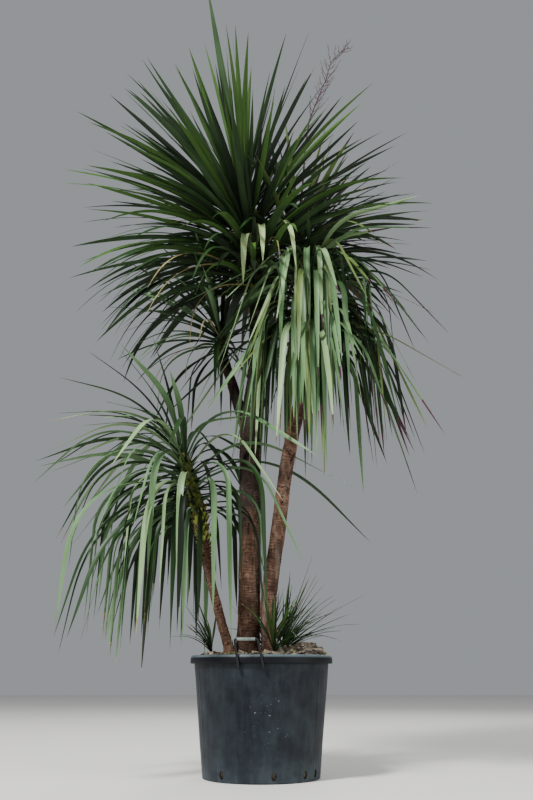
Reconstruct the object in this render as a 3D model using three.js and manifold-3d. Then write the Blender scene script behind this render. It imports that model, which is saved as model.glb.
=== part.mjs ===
import * as THREE from "three";
import Module from "manifold-3d";

// Potted cordyline, real size, millimetres, +Z up, z = 0 at the underside of the pot.
// The view of the photo is from -Y.

// Pot
const POT_HEIGHT = 445;
const POT_RIM_RADIUS = 280;
const POT_TOP_RADIUS = 264.5;
const POT_BASE_RADIUS = 225.5;
const POT_WALL = 4;
const POT_FLOOR = 6;
const LIP_DROP = 30;
const LIP_WALL = 4;
const ROUND_SIDES = 32;
const DRAIN_WIDTH = 20;
const DRAIN_HEIGHT = 30;
const DRAIN_LEVEL = 26;
// Compass angles of the drain slots from the front, in degrees
const DRAIN_ANGLES = [-142, -90, -39, 12, 45, 62, 115, 167];

// Potting mix and mulch
const SOIL_EDGE = 424;
const SOIL_SEAT = 448;
const SOIL_PLATEAU_RADIUS = 225;
const MULCH_HEAP = 38;
const HEAP_CENTRE = [165, -10];
const HEAP_SPREAD = [85, 130];
// Radii of the rings of points over the mulch
const MULCH_RINGS = [65, 125, 180, SOIL_PLATEAU_RADIUS];

// Carrying handles hooked over the lip
const HANDLE_TOP = 498;
const HANDLE_FOOT = 394;
const WIRE_RADIUS = 4.5;
const GRIP_RADIUS = 8;
const HANDLE_X = [-98, -12];
const HANDLE_LEAN = [15, 20];

// Clear gap between parts that meet
const GAP = 0.35;
// Smallest feature kept where leaves are joined to their core
const FINEST = 0.3;

// Share of a head's stem that carries side leaves; the rest is the growing tip
const STEM_SHARE = 0.84;
// Leaf-bearing stem inside a head, as a share of the sheath of leaf bases round it
const STEM_IN_SHEATH = 0.5;
const SHEATH_TAPER = 0.42;
// Degrees that a root keeps off the edge of its wedge
const ROOT_MARGIN = 13;
// How far out a root starts, as a share of the sheath: on the growing tip and on the stem
const TIP_ROOT = 0.45;
const SIDE_ROOT = 0.78;

// Blade of a leaf: half width at the neck as a share of the widest, share of the length at
// which it is widest, thickness in the middle beyond a hundredth of the length, and the
// steepest hang in degrees
const NECK = 0.3;
const WIDEST = 0.38;
const BLADE_EXTRA = 0.6;
const STEEPEST = 87;
// Share of its fall that is left to a leaf on the open side of a head
const OPEN_FALL = 0.5;
// Straight steps walked between two sections of a blade
const FINE_STEPS = 4;

// Limbs: x, y, z and radius at each station
const TRUNK = [
  [-54, 0, 448, 52], [-53, 0, 485, 47], [-50, 0, 660, 44], [-49, 2, 1070, 44],
  [-47, 10, 1400, 45], [-26, 15, 1608, 40], [-16, 20, 1850, 40], [-18, 20, 2030, 38],
];
const RIGHT_STEM = [
  [33, -42, 448, 36], [32, -41, 490, 32], [28, -40, 657, 31], [62, -47, 890, 29],
  [95, -60, 1142, 28], [125, -70, 1311, 28], [184, -90, 1571, 27], [203, -100, 1760, 27],
];
const LEFT_STEM = [
  [-122, -59, 448, 25], [-130, -61, 482, 20], [-159, -70, 578, 18], [-192, -80, 693, 17],
  [-217, -90, 790, 18], [-235, -99, 888, 21], [-254, -106, 975, 24],
];
const LEFT_FORK = [
  [-47, 15, 1370, 30], [-84, 42, 1450, 27], [-111, 60, 1530, 24], [-140, 90, 1634, 22],
  [-172, 116, 1745, 20], [-178, 124, 1785, 19],
];
const RIGHT_FORK = [
  [-16, 22, 1850, 28], [22, 62, 1950, 27], [59, 90, 2028, 26], [100, 118, 2110, 24],
  [126, 134, 2172, 22],
];
// Short dead stubs: x, y, z of foot and of end, radius
const STUBS = {
  trunk: [[-30, -12, 1440, 22, -38, 1500, 13]],
  left_fork: [[-150, 94, 1652, -190, 88, 1730, 10]],
};

// Heads of leaves. Foot and tip of the leaf-bearing stem, radius of the sheath of leaf
// bases, number of leaves, then low, middle and high values of leaf length, angle off the
// stem and fall of the tip in degrees, width, share of length over which a leaf falls,
// how many masses stand round the stem, the side that more leaves turn to in degrees with
// how strongly they do, and the compass angle of the side where leaves arch out in long
// even curves with how far they do.
const HEADS = [
  {
    name: "weeping_head", seed: 2046, foot: [204, -100, 1770], tip: [216, -110, 2030],
    sheath: 42, leaves: 71, length: [870, 870, 770], spread: [98, 96, 14],
    droop: [57, 115, 144], fall: [0, 0.45], stiff: 0.1, width: 34, ragged: 0.15, masses: 6,
    bends: 4, favour: [-84, 0.57], open: [-17, 0.3], colour: 0x6f8f5c,
  },
  {
    name: "left_head", seed: 5257, foot: [-255, -107, 985], tip: [-330, -124, 1255],
    sheath: 38, leaves: 55, length: [780, 970, 690], spread: [89, 85, 22],
    droop: [101, 128, 78], fall: [0, 0.58], stiff: 0.3, width: 38, ragged: 0.25, masses: 6,
    bends: 4, favour: [155, 0.62], open: [183, 0.47], colour: 0x5f8a50,
  },
  {
    name: "right_fork_head", seed: 495, foot: [126, 134, 2180], tip: [186, 166, 2390],
    sheath: 36, leaves: 42, length: [750, 680, 630], spread: [85, 56, 12],
    droop: [62, 47, 10], fall: [0.02, 0.85], stiff: 0.5, width: 32, ragged: 0.15, masses: 4,
    bends: 3, favour: [70, 0.1], open: [0, 0], colour: 0x37592b,
  },
  {
    name: "left_fork_head", seed: 4068, foot: [-178, 125, 1792], tip: [-196, 150, 1930],
    sheath: 30, leaves: 28, length: [580, 550, 590], spread: [118, 60, 15],
    droop: [77, 40, 23], fall: [0.02, 0.93], stiff: 0.5, width: 26, ragged: 0.15, masses: 3,
    bends: 3, favour: [217, 0.48], open: [0, 0], colour: 0x3c6034,
  },
  {
    name: "crown", seed: 8193, foot: [-20, 20, 2045], tip: [-94, 18, 2525],
    sheath: 48, leaves: 117, length: [910, 890, 860], spread: [88, 72, 22],
    droop: [54, 26, 2], fall: [0.05, 1], stiff: 0.5, width: 42, ragged: 0.2, masses: 6,
    bends: 3, favour: [215, 0.49], open: [0, 0], colour: 0x3f6b2c,
  },
];

// Single leaves that stand apart from the rule: share up the stem, compass angle and rise
// of the root in degrees, length, fall of the tip in degrees, sideways turn, width
const LONE_LEAVES = {
  left_head: [
    [0.62, 41, 24, 1080, 62, -14, 32],
    [0.55, 178, 32, 640, 46, 10, 50],
    [0.94, 182, 58, 640, 44, 0, 34],
    [0.97, 178, 64, 620, 28, 2, 32],
    [0.95, 170, 71, 560, 20, 4, 32],
    [0.97, 160, 79, 560, 8, 0, 30],
  ],
  crown: [
    [0.23, -98, 30, 560, 118, 6, 46],
    [0.31, -80, 34, 520, 112, -8, 44],
    [0.3, -62, 34, 640, 112, -8, 40],
    [0.97, -115, 70, 1020, 4, 0, 40],
  ],
};

// Grassy shoots that rise from the soil round the stems
const SUCKERS = [
  { name: "sucker_right", seed: 71, foot: [84, -10], leaves: 12, length: 400, lean: 62, toward: -12 },
  { name: "sucker_back", seed: 73, foot: [22, 64], leaves: 8, length: 330, lean: 44, toward: 70 },
  { name: "sucker_front", seed: 79, foot: [46, -108], leaves: 8, length: 320, lean: 58, toward: -50 },
  { name: "sucker_left", seed: 83, foot: [-196, -20], leaves: 6, length: 230, lean: 50, toward: 170 },
];
const SUCKER_STUB = 11;
const SUCKER_WIDTH = 13;

// Dead flower stalk over the right fork head: stations and twig length
const STALK = [
  [181, 160, 2368], [196, 128, 2640], [212, 86, 2860], [232, 62, 2990], [254, 60, 3050],
  [278, 60, 3118], [299, 60, 3177], [320, 60, 3226], [334, 60, 3286], [350, 60, 3340],
  [395, 60, 3390], [442, 60, 3428],
];
const STALK_RADIUS = 5;
const TWIG_LENGTH = 100;

const GOLDEN_ANGLE = THREE.MathUtils.degToRad(137.508);
const DEG = Math.PI / 180;

const wasm = await Module();
wasm.setup();

// Solids

function solidFrom(points, triangles) {
  const build = (tris) => new wasm.Manifold(new wasm.Mesh({
    numProp: 3,
    vertProperties: new Float32Array(points.flatMap((p) => [p.x, p.y, p.z])),
    triVerts: new Uint32Array(tris.flat()),
  }));
  const solid = build(triangles);
  if (solid.volume() > 0) {
    return solid;
  }
  return build(triangles.map(([a, b, c]) => [a, c, b]));
}

// Two triangles over four corners, split so that they bulge away from the middle: a thin
// blade then doesn't pass through itself where it twists
function splitOutward(points, [a, b, c, d], middle) {
  const centre = new THREE.Vector3();
  [a, b, c, d].forEach((k) => centre.addScaledVector(points[k], 0.25));
  const apart = points[a].clone().add(points[c]).sub(points[b]).sub(points[d]);
  return apart.dot(centre.sub(middle)) >= 0 ? [[a, b, c], [a, c, d]] : [[a, b, d], [b, c, d]];
}

// A skin through rings of equal count, closed by flat ends or by a point
function loft(rings, point = null) {
  const count = rings[0].length;
  const points = rings.flat();
  const triangles = [];
  for (let r = 0; r + 1 < rings.length; r += 1) {
    const middle = new THREE.Vector3();
    [...rings[r], ...rings[r + 1]].forEach((p) => middle.addScaledVector(p, 0.5 / count));
    for (let k = 0; k < count; k += 1) {
      const a = r * count + k;
      const b = r * count + (k + 1) % count;
      triangles.push(...splitOutward(points, [a, b, b + count, a + count], middle));
    }
  }
  for (let k = 1; k + 1 < count; k += 1) {
    triangles.push([0, k + 1, k]);
  }
  const last = (rings.length - 1) * count;
  if (point) {
    points.push(point);
    for (let k = 0; k < count; k += 1) {
      triangles.push([last + k, last + (k + 1) % count, points.length - 1]);
    }
  } else {
    for (let k = 1; k + 1 < count; k += 1) {
      triangles.push([last, last + k, last + k + 1]);
    }
  }
  return solidFrom(points, triangles);
}

function fromGeometry(geometry) {
  const at = geometry.getAttribute("position");
  const keys = new Map();
  const points = [];
  const number = [];
  for (let k = 0; k < at.count; k += 1) {
    const p = new THREE.Vector3().fromBufferAttribute(at, k);
    const key = [p.x, p.y, p.z].map((v) => Math.round(v * 1000)).join();
    if (!keys.has(key)) {
      keys.set(key, points.length);
      points.push(p);
    }
    number.push(keys.get(key));
  }
  const index = geometry.index ? Array.from(geometry.index.array) : number.map((_, k) => k);
  const triangles = [];
  for (let k = 0; k < index.length; k += 3) {
    const [a, b, c] = [number[index[k]], number[index[k + 1]], number[index[k + 2]]];
    if (a !== b && b !== c && c !== a) {
      triangles.push([a, b, c]);
    }
  }
  return solidFrom(points, triangles);
}

function toGeometry(solid) {
  const mesh = solid.getMesh();
  const geometry = new THREE.BufferGeometry();
  geometry.setAttribute("position", new THREE.BufferAttribute(Float32Array.from(mesh.vertProperties), 3));
  geometry.setIndex(Array.from(mesh.triVerts));
  return geometry.toNonIndexed();
}

// The one outer body of a solid; sealed hollows and scraps are left out
function mainBody(solid) {
  const bodies = solid.decompose();
  return bodies.reduce((best, body) => (body.volume() > best.volume() ? body : best));
}

function revolve(profile) {
  const points = profile.map(([r, z]) => new THREE.Vector2(r, z));
  return fromGeometry(new THREE.LatheGeometry(points, ROUND_SIDES).rotateX(Math.PI / 2));
}

// A ring of points round a centre in the plane of two axes
function ring(centre, u, v, radius, sides) {
  return Array.from({ length: sides }, (_, k) => {
    const a = (k / sides) * Math.PI * 2;
    const r = typeof radius === "function" ? radius(a) : radius;
    return centre.clone().addScaledVector(u, Math.cos(a) * r).addScaledVector(v, Math.sin(a) * r);
  });
}

// A round wire through points, mitred at its corners
function wire(stations, radius, sides) {
  let u = new THREE.Vector3(0, 1, 0);
  const rings = stations.map((centre, k) => {
    const before = centre.clone().sub(stations[Math.max(0, k - 1)]).normalize();
    const after = stations[Math.min(stations.length - 1, k + 1)].clone().sub(centre).normalize();
    const along = before.clone().add(after).normalize();
    u = u.clone().addScaledVector(along, -u.dot(along)).normalize();
    const v = along.clone().cross(u);
    const size = typeof radius === "function" ? radius(k / (stations.length - 1)) : radius;
    return ring(centre, u, v, size, sides);
  });
  return loft(rings);
}

// Number from 0 to 1 that depends only on a seed and a place in the row
function chance(seed, k) {
  let x = (Math.imul(seed, 374761393) + Math.imul(k, 668265263) + 974634777) >>> 0;
  x = Math.imul(x ^ (x >>> 13), 1274126177) >>> 0;
  x = Math.imul(x ^ (x >>> 15), 2246822519) >>> 0;
  return ((x ^ (x >>> 16)) & 0xffffff) / 0x1000000;
}

const mix = (a, b, t) => a + (b - a) * t;

const between = ([low, middle, high], t) => (
  t < 0.5 ? mix(low, middle, t * 2) : mix(middle, high, t * 2 - 1)
);

function smooth(from, to, x) {
  const t = Math.min(1, Math.max(0, (x - from) / (to - from)));
  return t * t * (3 - 2 * t);
}

// Limbs

// A tapering limb with faint rings of leaf scars; its foot is cut level
function limb(stations, sides, step, seed, extra = 0) {
  const points = stations.map(([x, y, z]) => new THREE.Vector3(x, y, z));
  const path = new THREE.CatmullRomCurve3(points);
  const rings = [];
  let u = new THREE.Vector3(1, 0, 0);
  const addRing = (from, share) => {
    const t = (from + share) / (stations.length - 1);
    const along = rings.length ? path.getTangent(t).normalize() : new THREE.Vector3(0, 0, 1);
    u = u.clone().addScaledVector(along, -u.dot(along)).normalize();
    const v = along.clone().cross(u);
    const base = mix(stations[from][3], stations[Math.min(from + 1, stations.length - 1)][3], share);
    const scar = extra ? 0 : mix(-0.03, 0.03, chance(seed, rings.length));
    const radius = (a) => base * (1 + scar) + extra + barkLump(seed, rings.length, a, base, extra);
    rings.push(ring(path.getPoint(t), u, v, radius, sides));
  };
  for (let from = 0; from + 1 < stations.length; from += 1) {
    const count = Math.max(1, Math.round(points[from].distanceTo(points[from + 1]) / step));
    for (let k = 0; k < count; k += 1) {
      addRing(from, k / count);
    }
  }
  addRing(stations.length - 1, 0);
  return loft(rings);
}

function barkLump(seed, k, angle, base, extra) {
  if (extra) {
    return base * 0.06;
  }
  return base * mix(-0.03, 0.03, chance(seed + 1, Math.round(angle * 8) + k * 50));
}

// Stations of a limb carried on up through its head of leaves
function withHead(stations, head) {
  const foot = new THREE.Vector3(...head.foot);
  const end = foot.clone().lerp(new THREE.Vector3(...head.tip), STEM_SHARE);
  const middle = foot.clone().lerp(end, 0.5);
  const onward = [[foot, 0], [middle, STEM_SHARE / 2], [end, STEM_SHARE]];
  const inside = onward.map(([p, t]) => [p.x, p.y, p.z, sheathRadius(head, t) * STEM_IN_SHEATH]);
  return [...stations, ...inside];
}

function sheathRadius(head, t) {
  return head.sheath * (1 - SHEATH_TAPER * t * t);
}

// Axes of a head: along its stem, and two across it
function headAxes(head) {
  const foot = new THREE.Vector3(...head.foot);
  const reach = new THREE.Vector3(...head.tip).sub(foot);
  const along = reach.clone().normalize();
  const u = new THREE.Vector3(0, 1, 0).cross(along).normalize();
  return { foot, reach, along, u, v: along.clone().cross(u) };
}

// Leaves

// The course of one leaf: points, edge direction, back direction and half width
function leafCourse(head, sizes, bends) {
  const { start, rise, face, length, bend, from, to, sway, roll, twist, width } = sizes;
  const course = [];
  const place = start.clone();
  const steps = bends * FINE_STEPS;
  for (let k = 0; k <= steps; k += 1) {
    const s = k / steps;
    const angle = Math.max(rise - bend * smooth(from, to, s), -STEEPEST * DEG);
    const turn = face + sway * s;
    const flat = new THREE.Vector3(Math.cos(turn), Math.sin(turn), 0);
    const along = flat.clone().multiplyScalar(Math.cos(angle)).setZ(Math.sin(angle));
    const side = new THREE.Vector3(-Math.sin(turn), Math.cos(turn), 0);
    const back = side.clone().cross(along).negate();
    const spun = roll + twist * s * s;
    const edge = side.clone().multiplyScalar(Math.cos(spun)).addScaledVector(back, Math.sin(spun));
    const keel = back.clone().multiplyScalar(Math.cos(spun)).addScaledVector(side, -Math.sin(spun));
    if (k % FINE_STEPS === 0) {
      course.push({ place: place.clone(), edge, keel, half: (width / 2) * outline(s), s });
    }
    place.addScaledVector(along, length / steps);
  }
  return course;
}

// Half width of a blade along its length: narrow neck, full blade, long point
function outline(s) {
  return s < WIDEST ? mix(NECK, 1, smooth(0, WIDEST, s)) : 1 - ((s - WIDEST) / (1 - WIDEST)) ** 2;
}

// Root of a leaf that starts a share up the stem, on the side that it turns to. A root
// keeps off the edges of the wedge that it belongs to; above the stem it sits on the tip.
function rootPlace(head, share, turns) {
  const { foot, reach, u, v } = headAxes(head);
  const top = share > STEM_SHARE;
  const slice = (Math.PI * 2) / head.masses;
  const mass = top ? -1 : Math.floor(turns / slice);
  const middle = top ? turns : (mass + 0.5) * slice;
  const room = slice / 2 - ROOT_MARGIN * DEG;
  const at = middle + THREE.MathUtils.clamp(turns - middle, -room, room);
  const radius = sheathRadius(head, share) * (top ? TIP_ROOT : SIDE_ROOT);
  const start = foot.clone().addScaledVector(reach, share)
    .addScaledVector(u, Math.cos(at) * radius).addScaledVector(v, Math.sin(at) * radius);
  return { mass, middle, start };
}

// Sizes of leaf i of a head by the seeded rule
function leafSizes(head, i, nudge) {
  const { along, u, v } = headAxes(head);
  const roll = (k) => chance(head.seed * 1000 + i, k);
  const t = (i + 0.5) / head.leaves;
  const even = i * GOLDEN_ANGLE + mix(-14, 14, roll(0)) * DEG;
  const around = even + head.favour[1] * Math.sin(head.favour[0] * DEG - even);
  const turns = ((around % (Math.PI * 2)) + Math.PI * 2) % (Math.PI * 2);
  const { mass, middle, start } = rootPlace(head, t, turns);
  const spin = middle + (turns - middle) * 0.86 + nudge * DEG;
  const off = (between(head.spread, t) + mix(-10, 10, roll(1)) * Math.min(1, 2.6 - 2 * t)) * DEG;
  const out = u.clone().multiplyScalar(Math.cos(spin)).addScaledVector(v, Math.sin(spin));
  const launch = along.clone().multiplyScalar(Math.cos(off)).addScaledVector(out, Math.sin(off));
  const rise = Math.asin(launch.z);
  const face = Math.atan2(launch.y, launch.x);
  const opened = Math.max(0, Math.cos(face - head.open[0] * DEG)) * head.open[1];
  const fall = between(head.droop, t) * DEG * mix(0.6, 1.4, roll(3)) * mix(1, OPEN_FALL, opened);
  const inward = mass < 0 ? mix(-1, 1, roll(5)) : Math.sign(middle - turns) * roll(5);
  return {
    mass,
    start,
    rise,
    face,
    length: between(head.length, t) * mix(1 - head.ragged, 1, roll(2)),
    bend: fall * mix(1, Math.cos(rise), head.stiff),
    from: head.fall[0] + mix(-0.06, 0.1, roll(4)),
    to: mix(head.fall[1], 1, opened),
    sway: 14 * DEG * inward,
    roll: mix(-22, 22, roll(6)) * DEG,
    twist: mix(-75, 75, roll(7)) * DEG,
    width: head.width * mix(0.8, 1.12, roll(8)),
  };
}

function loneSizes(head, [share, compass, rise, length, fall, sway, width]) {
  const { along, u, v } = headAxes(head);
  const face = compass * DEG;
  const out = new THREE.Vector3(Math.cos(face), Math.sin(face), 0);
  out.addScaledVector(along, -out.dot(along)).normalize();
  const turns = (Math.atan2(out.dot(v), out.dot(u)) + Math.PI * 2) % (Math.PI * 2);
  const place = rootPlace(head, share, turns);
  return {
    mass: place.mass,
    start: place.start,
    rise: rise * DEG,
    face,
    length,
    bend: fall * DEG,
    from: 0,
    to: 0.8,
    sway: sway * DEG,
    roll: 0,
    twist: 0,
    width,
  };
}

// A blade with a keel along its back, as thick as a hundredth of its length, and the part
// of it past the crowded roots
function blade(course, length) {
  const thick = length / 100 + BLADE_EXTRA;
  const rings = course.slice(0, -1).map(({ place, edge, keel, half, s }) => [
    place.clone().addScaledVector(edge, half),
    place.clone().addScaledVector(edge, -half),
    place.clone().addScaledVector(keel, -thick * mix(1, 0.75, s)),
  ]);
  const point = course[course.length - 1].place;
  return { whole: loft(rings, point), outer: loft(rings.slice(1), point) };
}

// Masses of leaves

// One wedge of the sheath of leaf bases round a stem
function sheathWedge(head, mass) {
  const { foot, reach, u, v } = headAxes(head);
  const slice = (Math.PI * 2) / head.masses;
  const arcs = Math.max(2, Math.round(slice / (35 * DEG)));
  const middle = (mass + 0.5) * slice;
  const away = u.clone().multiplyScalar(Math.cos(middle)).addScaledVector(v, Math.sin(middle))
    .multiplyScalar(GAP / 2 / Math.sin(slice / 2));
  const rings = [0, STEM_SHARE - GAP / reach.length()].map((t) => {
    const outer = sheathRadius(head, t);
    const inner = (outer * STEM_IN_SHEATH * 1.1 + GAP) / Math.cos(slice / arcs / 2);
    const centre = foot.clone().addScaledVector(reach, t).add(away);
    const at = (angle, r) => centre.clone()
      .addScaledVector(u, Math.cos(angle) * r).addScaledVector(v, Math.sin(angle) * r);
    const turn = (k) => mass * slice + (k / arcs) * slice;
    const steps = Array.from({ length: arcs + 1 }, (_, k) => k);
    return [...steps.map((k) => at(turn(k), outer)), ...steps.reverse().map((k) => at(turn(k), inner))];
  });
  return loftWedge(rings, arcs);
}

// Skin of a wedge: like a loft, with ends that follow the two arcs
function loftWedge(rings, arcs) {
  const count = rings[0].length;
  const points = rings.flat();
  const triangles = [];
  for (let r = 0; r + 1 < rings.length; r += 1) {
    for (let k = 0; k < count; k += 1) {
      const a = r * count + k;
      const b = r * count + (k + 1) % count;
      triangles.push([a, b, b + count], [a, b + count, a + count]);
    }
  }
  const last = (rings.length - 1) * count;
  for (let k = 0; k < arcs; k += 1) {
    const inner = count - 1 - k;
    triangles.push([k, inner, inner - 1], [k, inner - 1, k + 1]);
    triangles.push([last + k, last + inner - 1, last + inner], [last + k, last + k + 1, last + inner - 1]);
  }
  return solidFrom(points, triangles);
}

// The growing tip over the end of a stem
function tipCore(head) {
  const { foot, reach, u, v } = headAxes(head);
  const start = STEM_SHARE + (GAP * 1.5) / reach.length();
  const rings = [start, mix(start, 1, 0.5), 1].map((t) => (
    ring(foot.clone().addScaledVector(reach, t), u, v, sheathRadius(head, t) * mix(1, 0.6, t), 8)
  ));
  return loft(rings, foot.clone().addScaledVector(reach, 1 + 14 / reach.length()));
}

// Solids already standing, with the name of the part that each belongs to. Leaves of one
// mass may meet at their roots but not past them.
const standing = [];

function stand(owner, whole, outer = null) {
  standing.push({ owner, whole, outer, box: whole.boundingBox() });
}

function boxesMeet(a, b) {
  return [0, 1, 2].every((k) => a.min[k] <= b.max[k] + GAP && a.max[k] >= b.min[k] - GAP);
}

function isClear(owner, leaf) {
  const box = leaf.whole.boundingBox();
  return standing.every((other) => {
    if (!boxesMeet(box, other.box)) {
      return true;
    }
    if (other.owner !== owner) {
      return leaf.whole.minGap(other.whole, GAP) >= GAP * 0.9;
    }
    return !other.outer || leaf.outer.minGap(other.outer, GAP) >= GAP * 0.9;
  });
}

// Turn in degrees and share of the fall tried in turn where a leaf would touch another part
const NUDGES = [
  [0, 1], [5, 1], [-5, 1], [0, 0.8], [0, 1.2], [10, 0.9], [-10, 0.9], [10, 1.2], [-10, 1.2],
  [16, 0.8], [-16, 0.8], [22, 1], [-22, 1],
];
const TRIMS = [1, 0.82, 0.66];

function placeLeaf(owner, make) {
  for (const trim of TRIMS) {
    for (const [nudge, fall] of NUDGES) {
      const leaf = make(nudge, trim, fall);
      if (isClear(owner, leaf)) {
        stand(owner, leaf.whole, leaf.outer);
        return leaf.whole;
      }
    }
  }
  return null;
}

const massName = (head, mass) => (mass < 0 ? `${head.name}_tip` : `${head.name}_mass_${mass + 1}`);

// The cores of a head, by the name of their mass; they stand before any leaf is placed
function headCores(head) {
  const masses = new Map();
  for (let mass = -1; mass < head.masses; mass += 1) {
    const core = mass < 0 ? mainBody(tipCore(head).subtract(stalkClearance)) : sheathWedge(head, mass);
    stand(massName(head, mass), core);
    masses.set(massName(head, mass), [core]);
  }
  return masses;
}

function growLeaves(head, masses) {
  const grow = (sizesAt) => {
    const owner = massName(head, sizesAt(0).mass);
    const leaf = placeLeaf(owner, (nudge, trim, fall) => {
      const sizes = sizesAt(nudge);
      sizes.length *= trim;
      sizes.bend *= fall;
      return blade(leafCourse(head, sizes, head.bends), sizes.length);
    });
    if (leaf) {
      masses.get(owner).push(leaf);
    }
  };
  (LONE_LEAVES[head.name] || []).forEach((lone) => grow((nudge) => {
    const sizes = loneSizes(head, lone);
    sizes.face += nudge * DEG;
    return sizes;
  }));
  for (let i = 0; i < head.leaves; i += 1) {
    grow((nudge) => leafSizes(head, i, nudge));
  }
}

// Stalk

function stalkSolid(extra) {
  const points = STALK.map((p) => new THREE.Vector3(...p));
  const solids = [wire(points, (t) => STALK_RADIUS * mix(1, 0.45, t) + extra, 5)];
  for (let k = 4; k < points.length; k += 1) {
    for (let side = -1; side <= 1; side += 2) {
      const r = (n) => chance(900 + k * 2 + side, n);
      const foot = points[k].clone().lerp(points[k - 1], 0.3 + side * 0.25);
      const reach = TWIG_LENGTH * mix(0.7, 1.25, r(0));
      const turn = mix(-40, 40, r(1)) * DEG + (side > 0 ? 0 : Math.PI);
      const elbow = foot.clone().add(new THREE.Vector3(
        Math.cos(turn) * reach * 0.36, Math.sin(turn) * reach * 0.36, reach * 0.24));
      const end = elbow.clone().add(new THREE.Vector3(
        Math.cos(turn) * reach * 0.2, Math.sin(turn) * reach * 0.25, reach * 0.45));
      solids.push(wire([foot, elbow, end], (t) => mix(2.8, 1.8, t) + extra, 3));
    }
  }
  return solids.reduce((all, one) => all.add(one));
}

// Pot, soil and handles

function potSolid() {
  const lip = POT_HEIGHT - LIP_DROP;
  const under = POT_HEIGHT - 7;
  const inTop = POT_TOP_RADIUS - POT_WALL;
  const shell = revolve([
    [0, 0], [POT_BASE_RADIUS - 5, 0], [POT_BASE_RADIUS, 5], [POT_TOP_RADIUS, lip],
    [POT_TOP_RADIUS + 1, under], [POT_RIM_RADIUS - LIP_WALL, under],
    [POT_RIM_RADIUS - LIP_WALL, lip], [POT_RIM_RADIUS, lip], [POT_RIM_RADIUS, POT_HEIGHT - 4],
    [POT_RIM_RADIUS - 4, POT_HEIGHT], [inTop + 2, POT_HEIGHT], [inTop, POT_HEIGHT - 3],
    [inTop, lip], [POT_BASE_RADIUS - POT_WALL, POT_FLOOR], [0, POT_FLOOR],
  ]);
  return shell.subtract(drainSlots());
}

// Oval drain slots round the foot of the wall
function drainSlots() {
  const slots = [];
  const corners = [[-0.5, 0], [-0.3, -0.5], [0.3, -0.5], [0.5, 0], [0.3, 0.5], [-0.3, 0.5]];
  for (const compass of DRAIN_ANGLES) {
    const angle = (compass - 90) * DEG;
    const out = new THREE.Vector3(Math.cos(angle), Math.sin(angle), 0);
    const across = new THREE.Vector3(-Math.sin(angle), Math.cos(angle), 0);
    const rings = [POT_BASE_RADIUS - 25, POT_BASE_RADIUS + 15].map((r) => corners.map(([a, b]) => (
      out.clone().multiplyScalar(r).addScaledVector(across, a * DRAIN_WIDTH)
        .setZ(DRAIN_LEVEL + b * DRAIN_HEIGHT)
    )));
    slots.push(loft(rings));
  }
  return slots.reduce((all, one) => all.add(one));
}

// Height of the mulch: level seat for the stems, higher at the right, falling to the edge
function soilHeight(x, y, radius) {
  const off = [(x - HEAP_CENTRE[0]) / HEAP_SPREAD[0], (y - HEAP_CENTRE[1]) / HEAP_SPREAD[1]];
  const heap = Math.exp(-(off[0] ** 2) - off[1] ** 2) * MULCH_HEAP;
  const rough = mix(-3, 4, chance(Math.round(x), Math.round(y)));
  const edge = smooth(POT_TOP_RADIUS - 6, SOIL_PLATEAU_RADIUS, radius);
  return mix(SOIL_EDGE, SOIL_SEAT + heap + rough, edge);
}

function soilSolid(seats) {
  const rings = MULCH_RINGS;
  const points = [];
  const wall = POT_TOP_RADIUS - POT_WALL - 1.2;
  const foot = POT_BASE_RADIUS - POT_WALL - 2;
  const circle = (r, heightAt) => {
    for (let k = 0; k < ROUND_SIDES; k += 1) {
      const a = (k / ROUND_SIDES) * Math.PI * 2;
      const x = Math.cos(a) * r;
      const y = Math.sin(a) * r;
      points.push(new THREE.Vector3(x, y, heightAt(x, y)));
    }
  };
  rings.forEach((r) => circle(r, (x, y) => soilHeight(x, y, r)));
  circle(wall - 1.5, () => SOIL_EDGE);
  circle(foot, () => POT_FLOOR + GAP);
  const top = points.push(new THREE.Vector3(0, 0, SOIL_SEAT)) - 1;
  const bottom = points.push(new THREE.Vector3(0, 0, POT_FLOOR + GAP)) - 1;
  const triangles = [];
  const rows = rings.length + 2;
  for (let k = 0; k < ROUND_SIDES; k += 1) {
    const next = (k + 1) % ROUND_SIDES;
    triangles.push([top, k, next]);
    for (let row = 0; row + 1 < rows; row += 1) {
      const a = row * ROUND_SIDES + k;
      const b = row * ROUND_SIDES + next;
      triangles.push([a, a + ROUND_SIDES, b + ROUND_SIDES], [a, b + ROUND_SIDES, b]);
    }
    triangles.push([bottom, (rows - 1) * ROUND_SIDES + next, (rows - 1) * ROUND_SIDES + k]);
  }
  return seats.reduce((all, seat) => all.subtract(seat), solidFrom(points, triangles));
}

// Level pocket in the mulch under the foot of a stem
function seat([x, y, , radius]) {
  const u = new THREE.Vector3(1, 0, 0);
  const v = new THREE.Vector3(0, 1, 0);
  return loft([SOIL_SEAT - GAP, SOIL_SEAT + 45].map((z) => (
    ring(new THREE.Vector3(x, y, z), u, v, radius * 1.12 + 2, 8)
  )));
}

// Greatest distance from the axis to the flats of the lip between two places across it
function lipReach(from, to) {
  const step = Math.PI / ROUND_SIDES;
  const samples = Array.from({ length: 9 }, (_, k) => mix(from, to, k / 8));
  return Math.max(...samples.map((x) => {
    const angle = Math.asin(Math.abs(x) / POT_RIM_RADIUS) % (2 * step);
    return (POT_RIM_RADIUS * Math.cos(step)) / Math.cos(angle - step);
  }));
}

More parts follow.
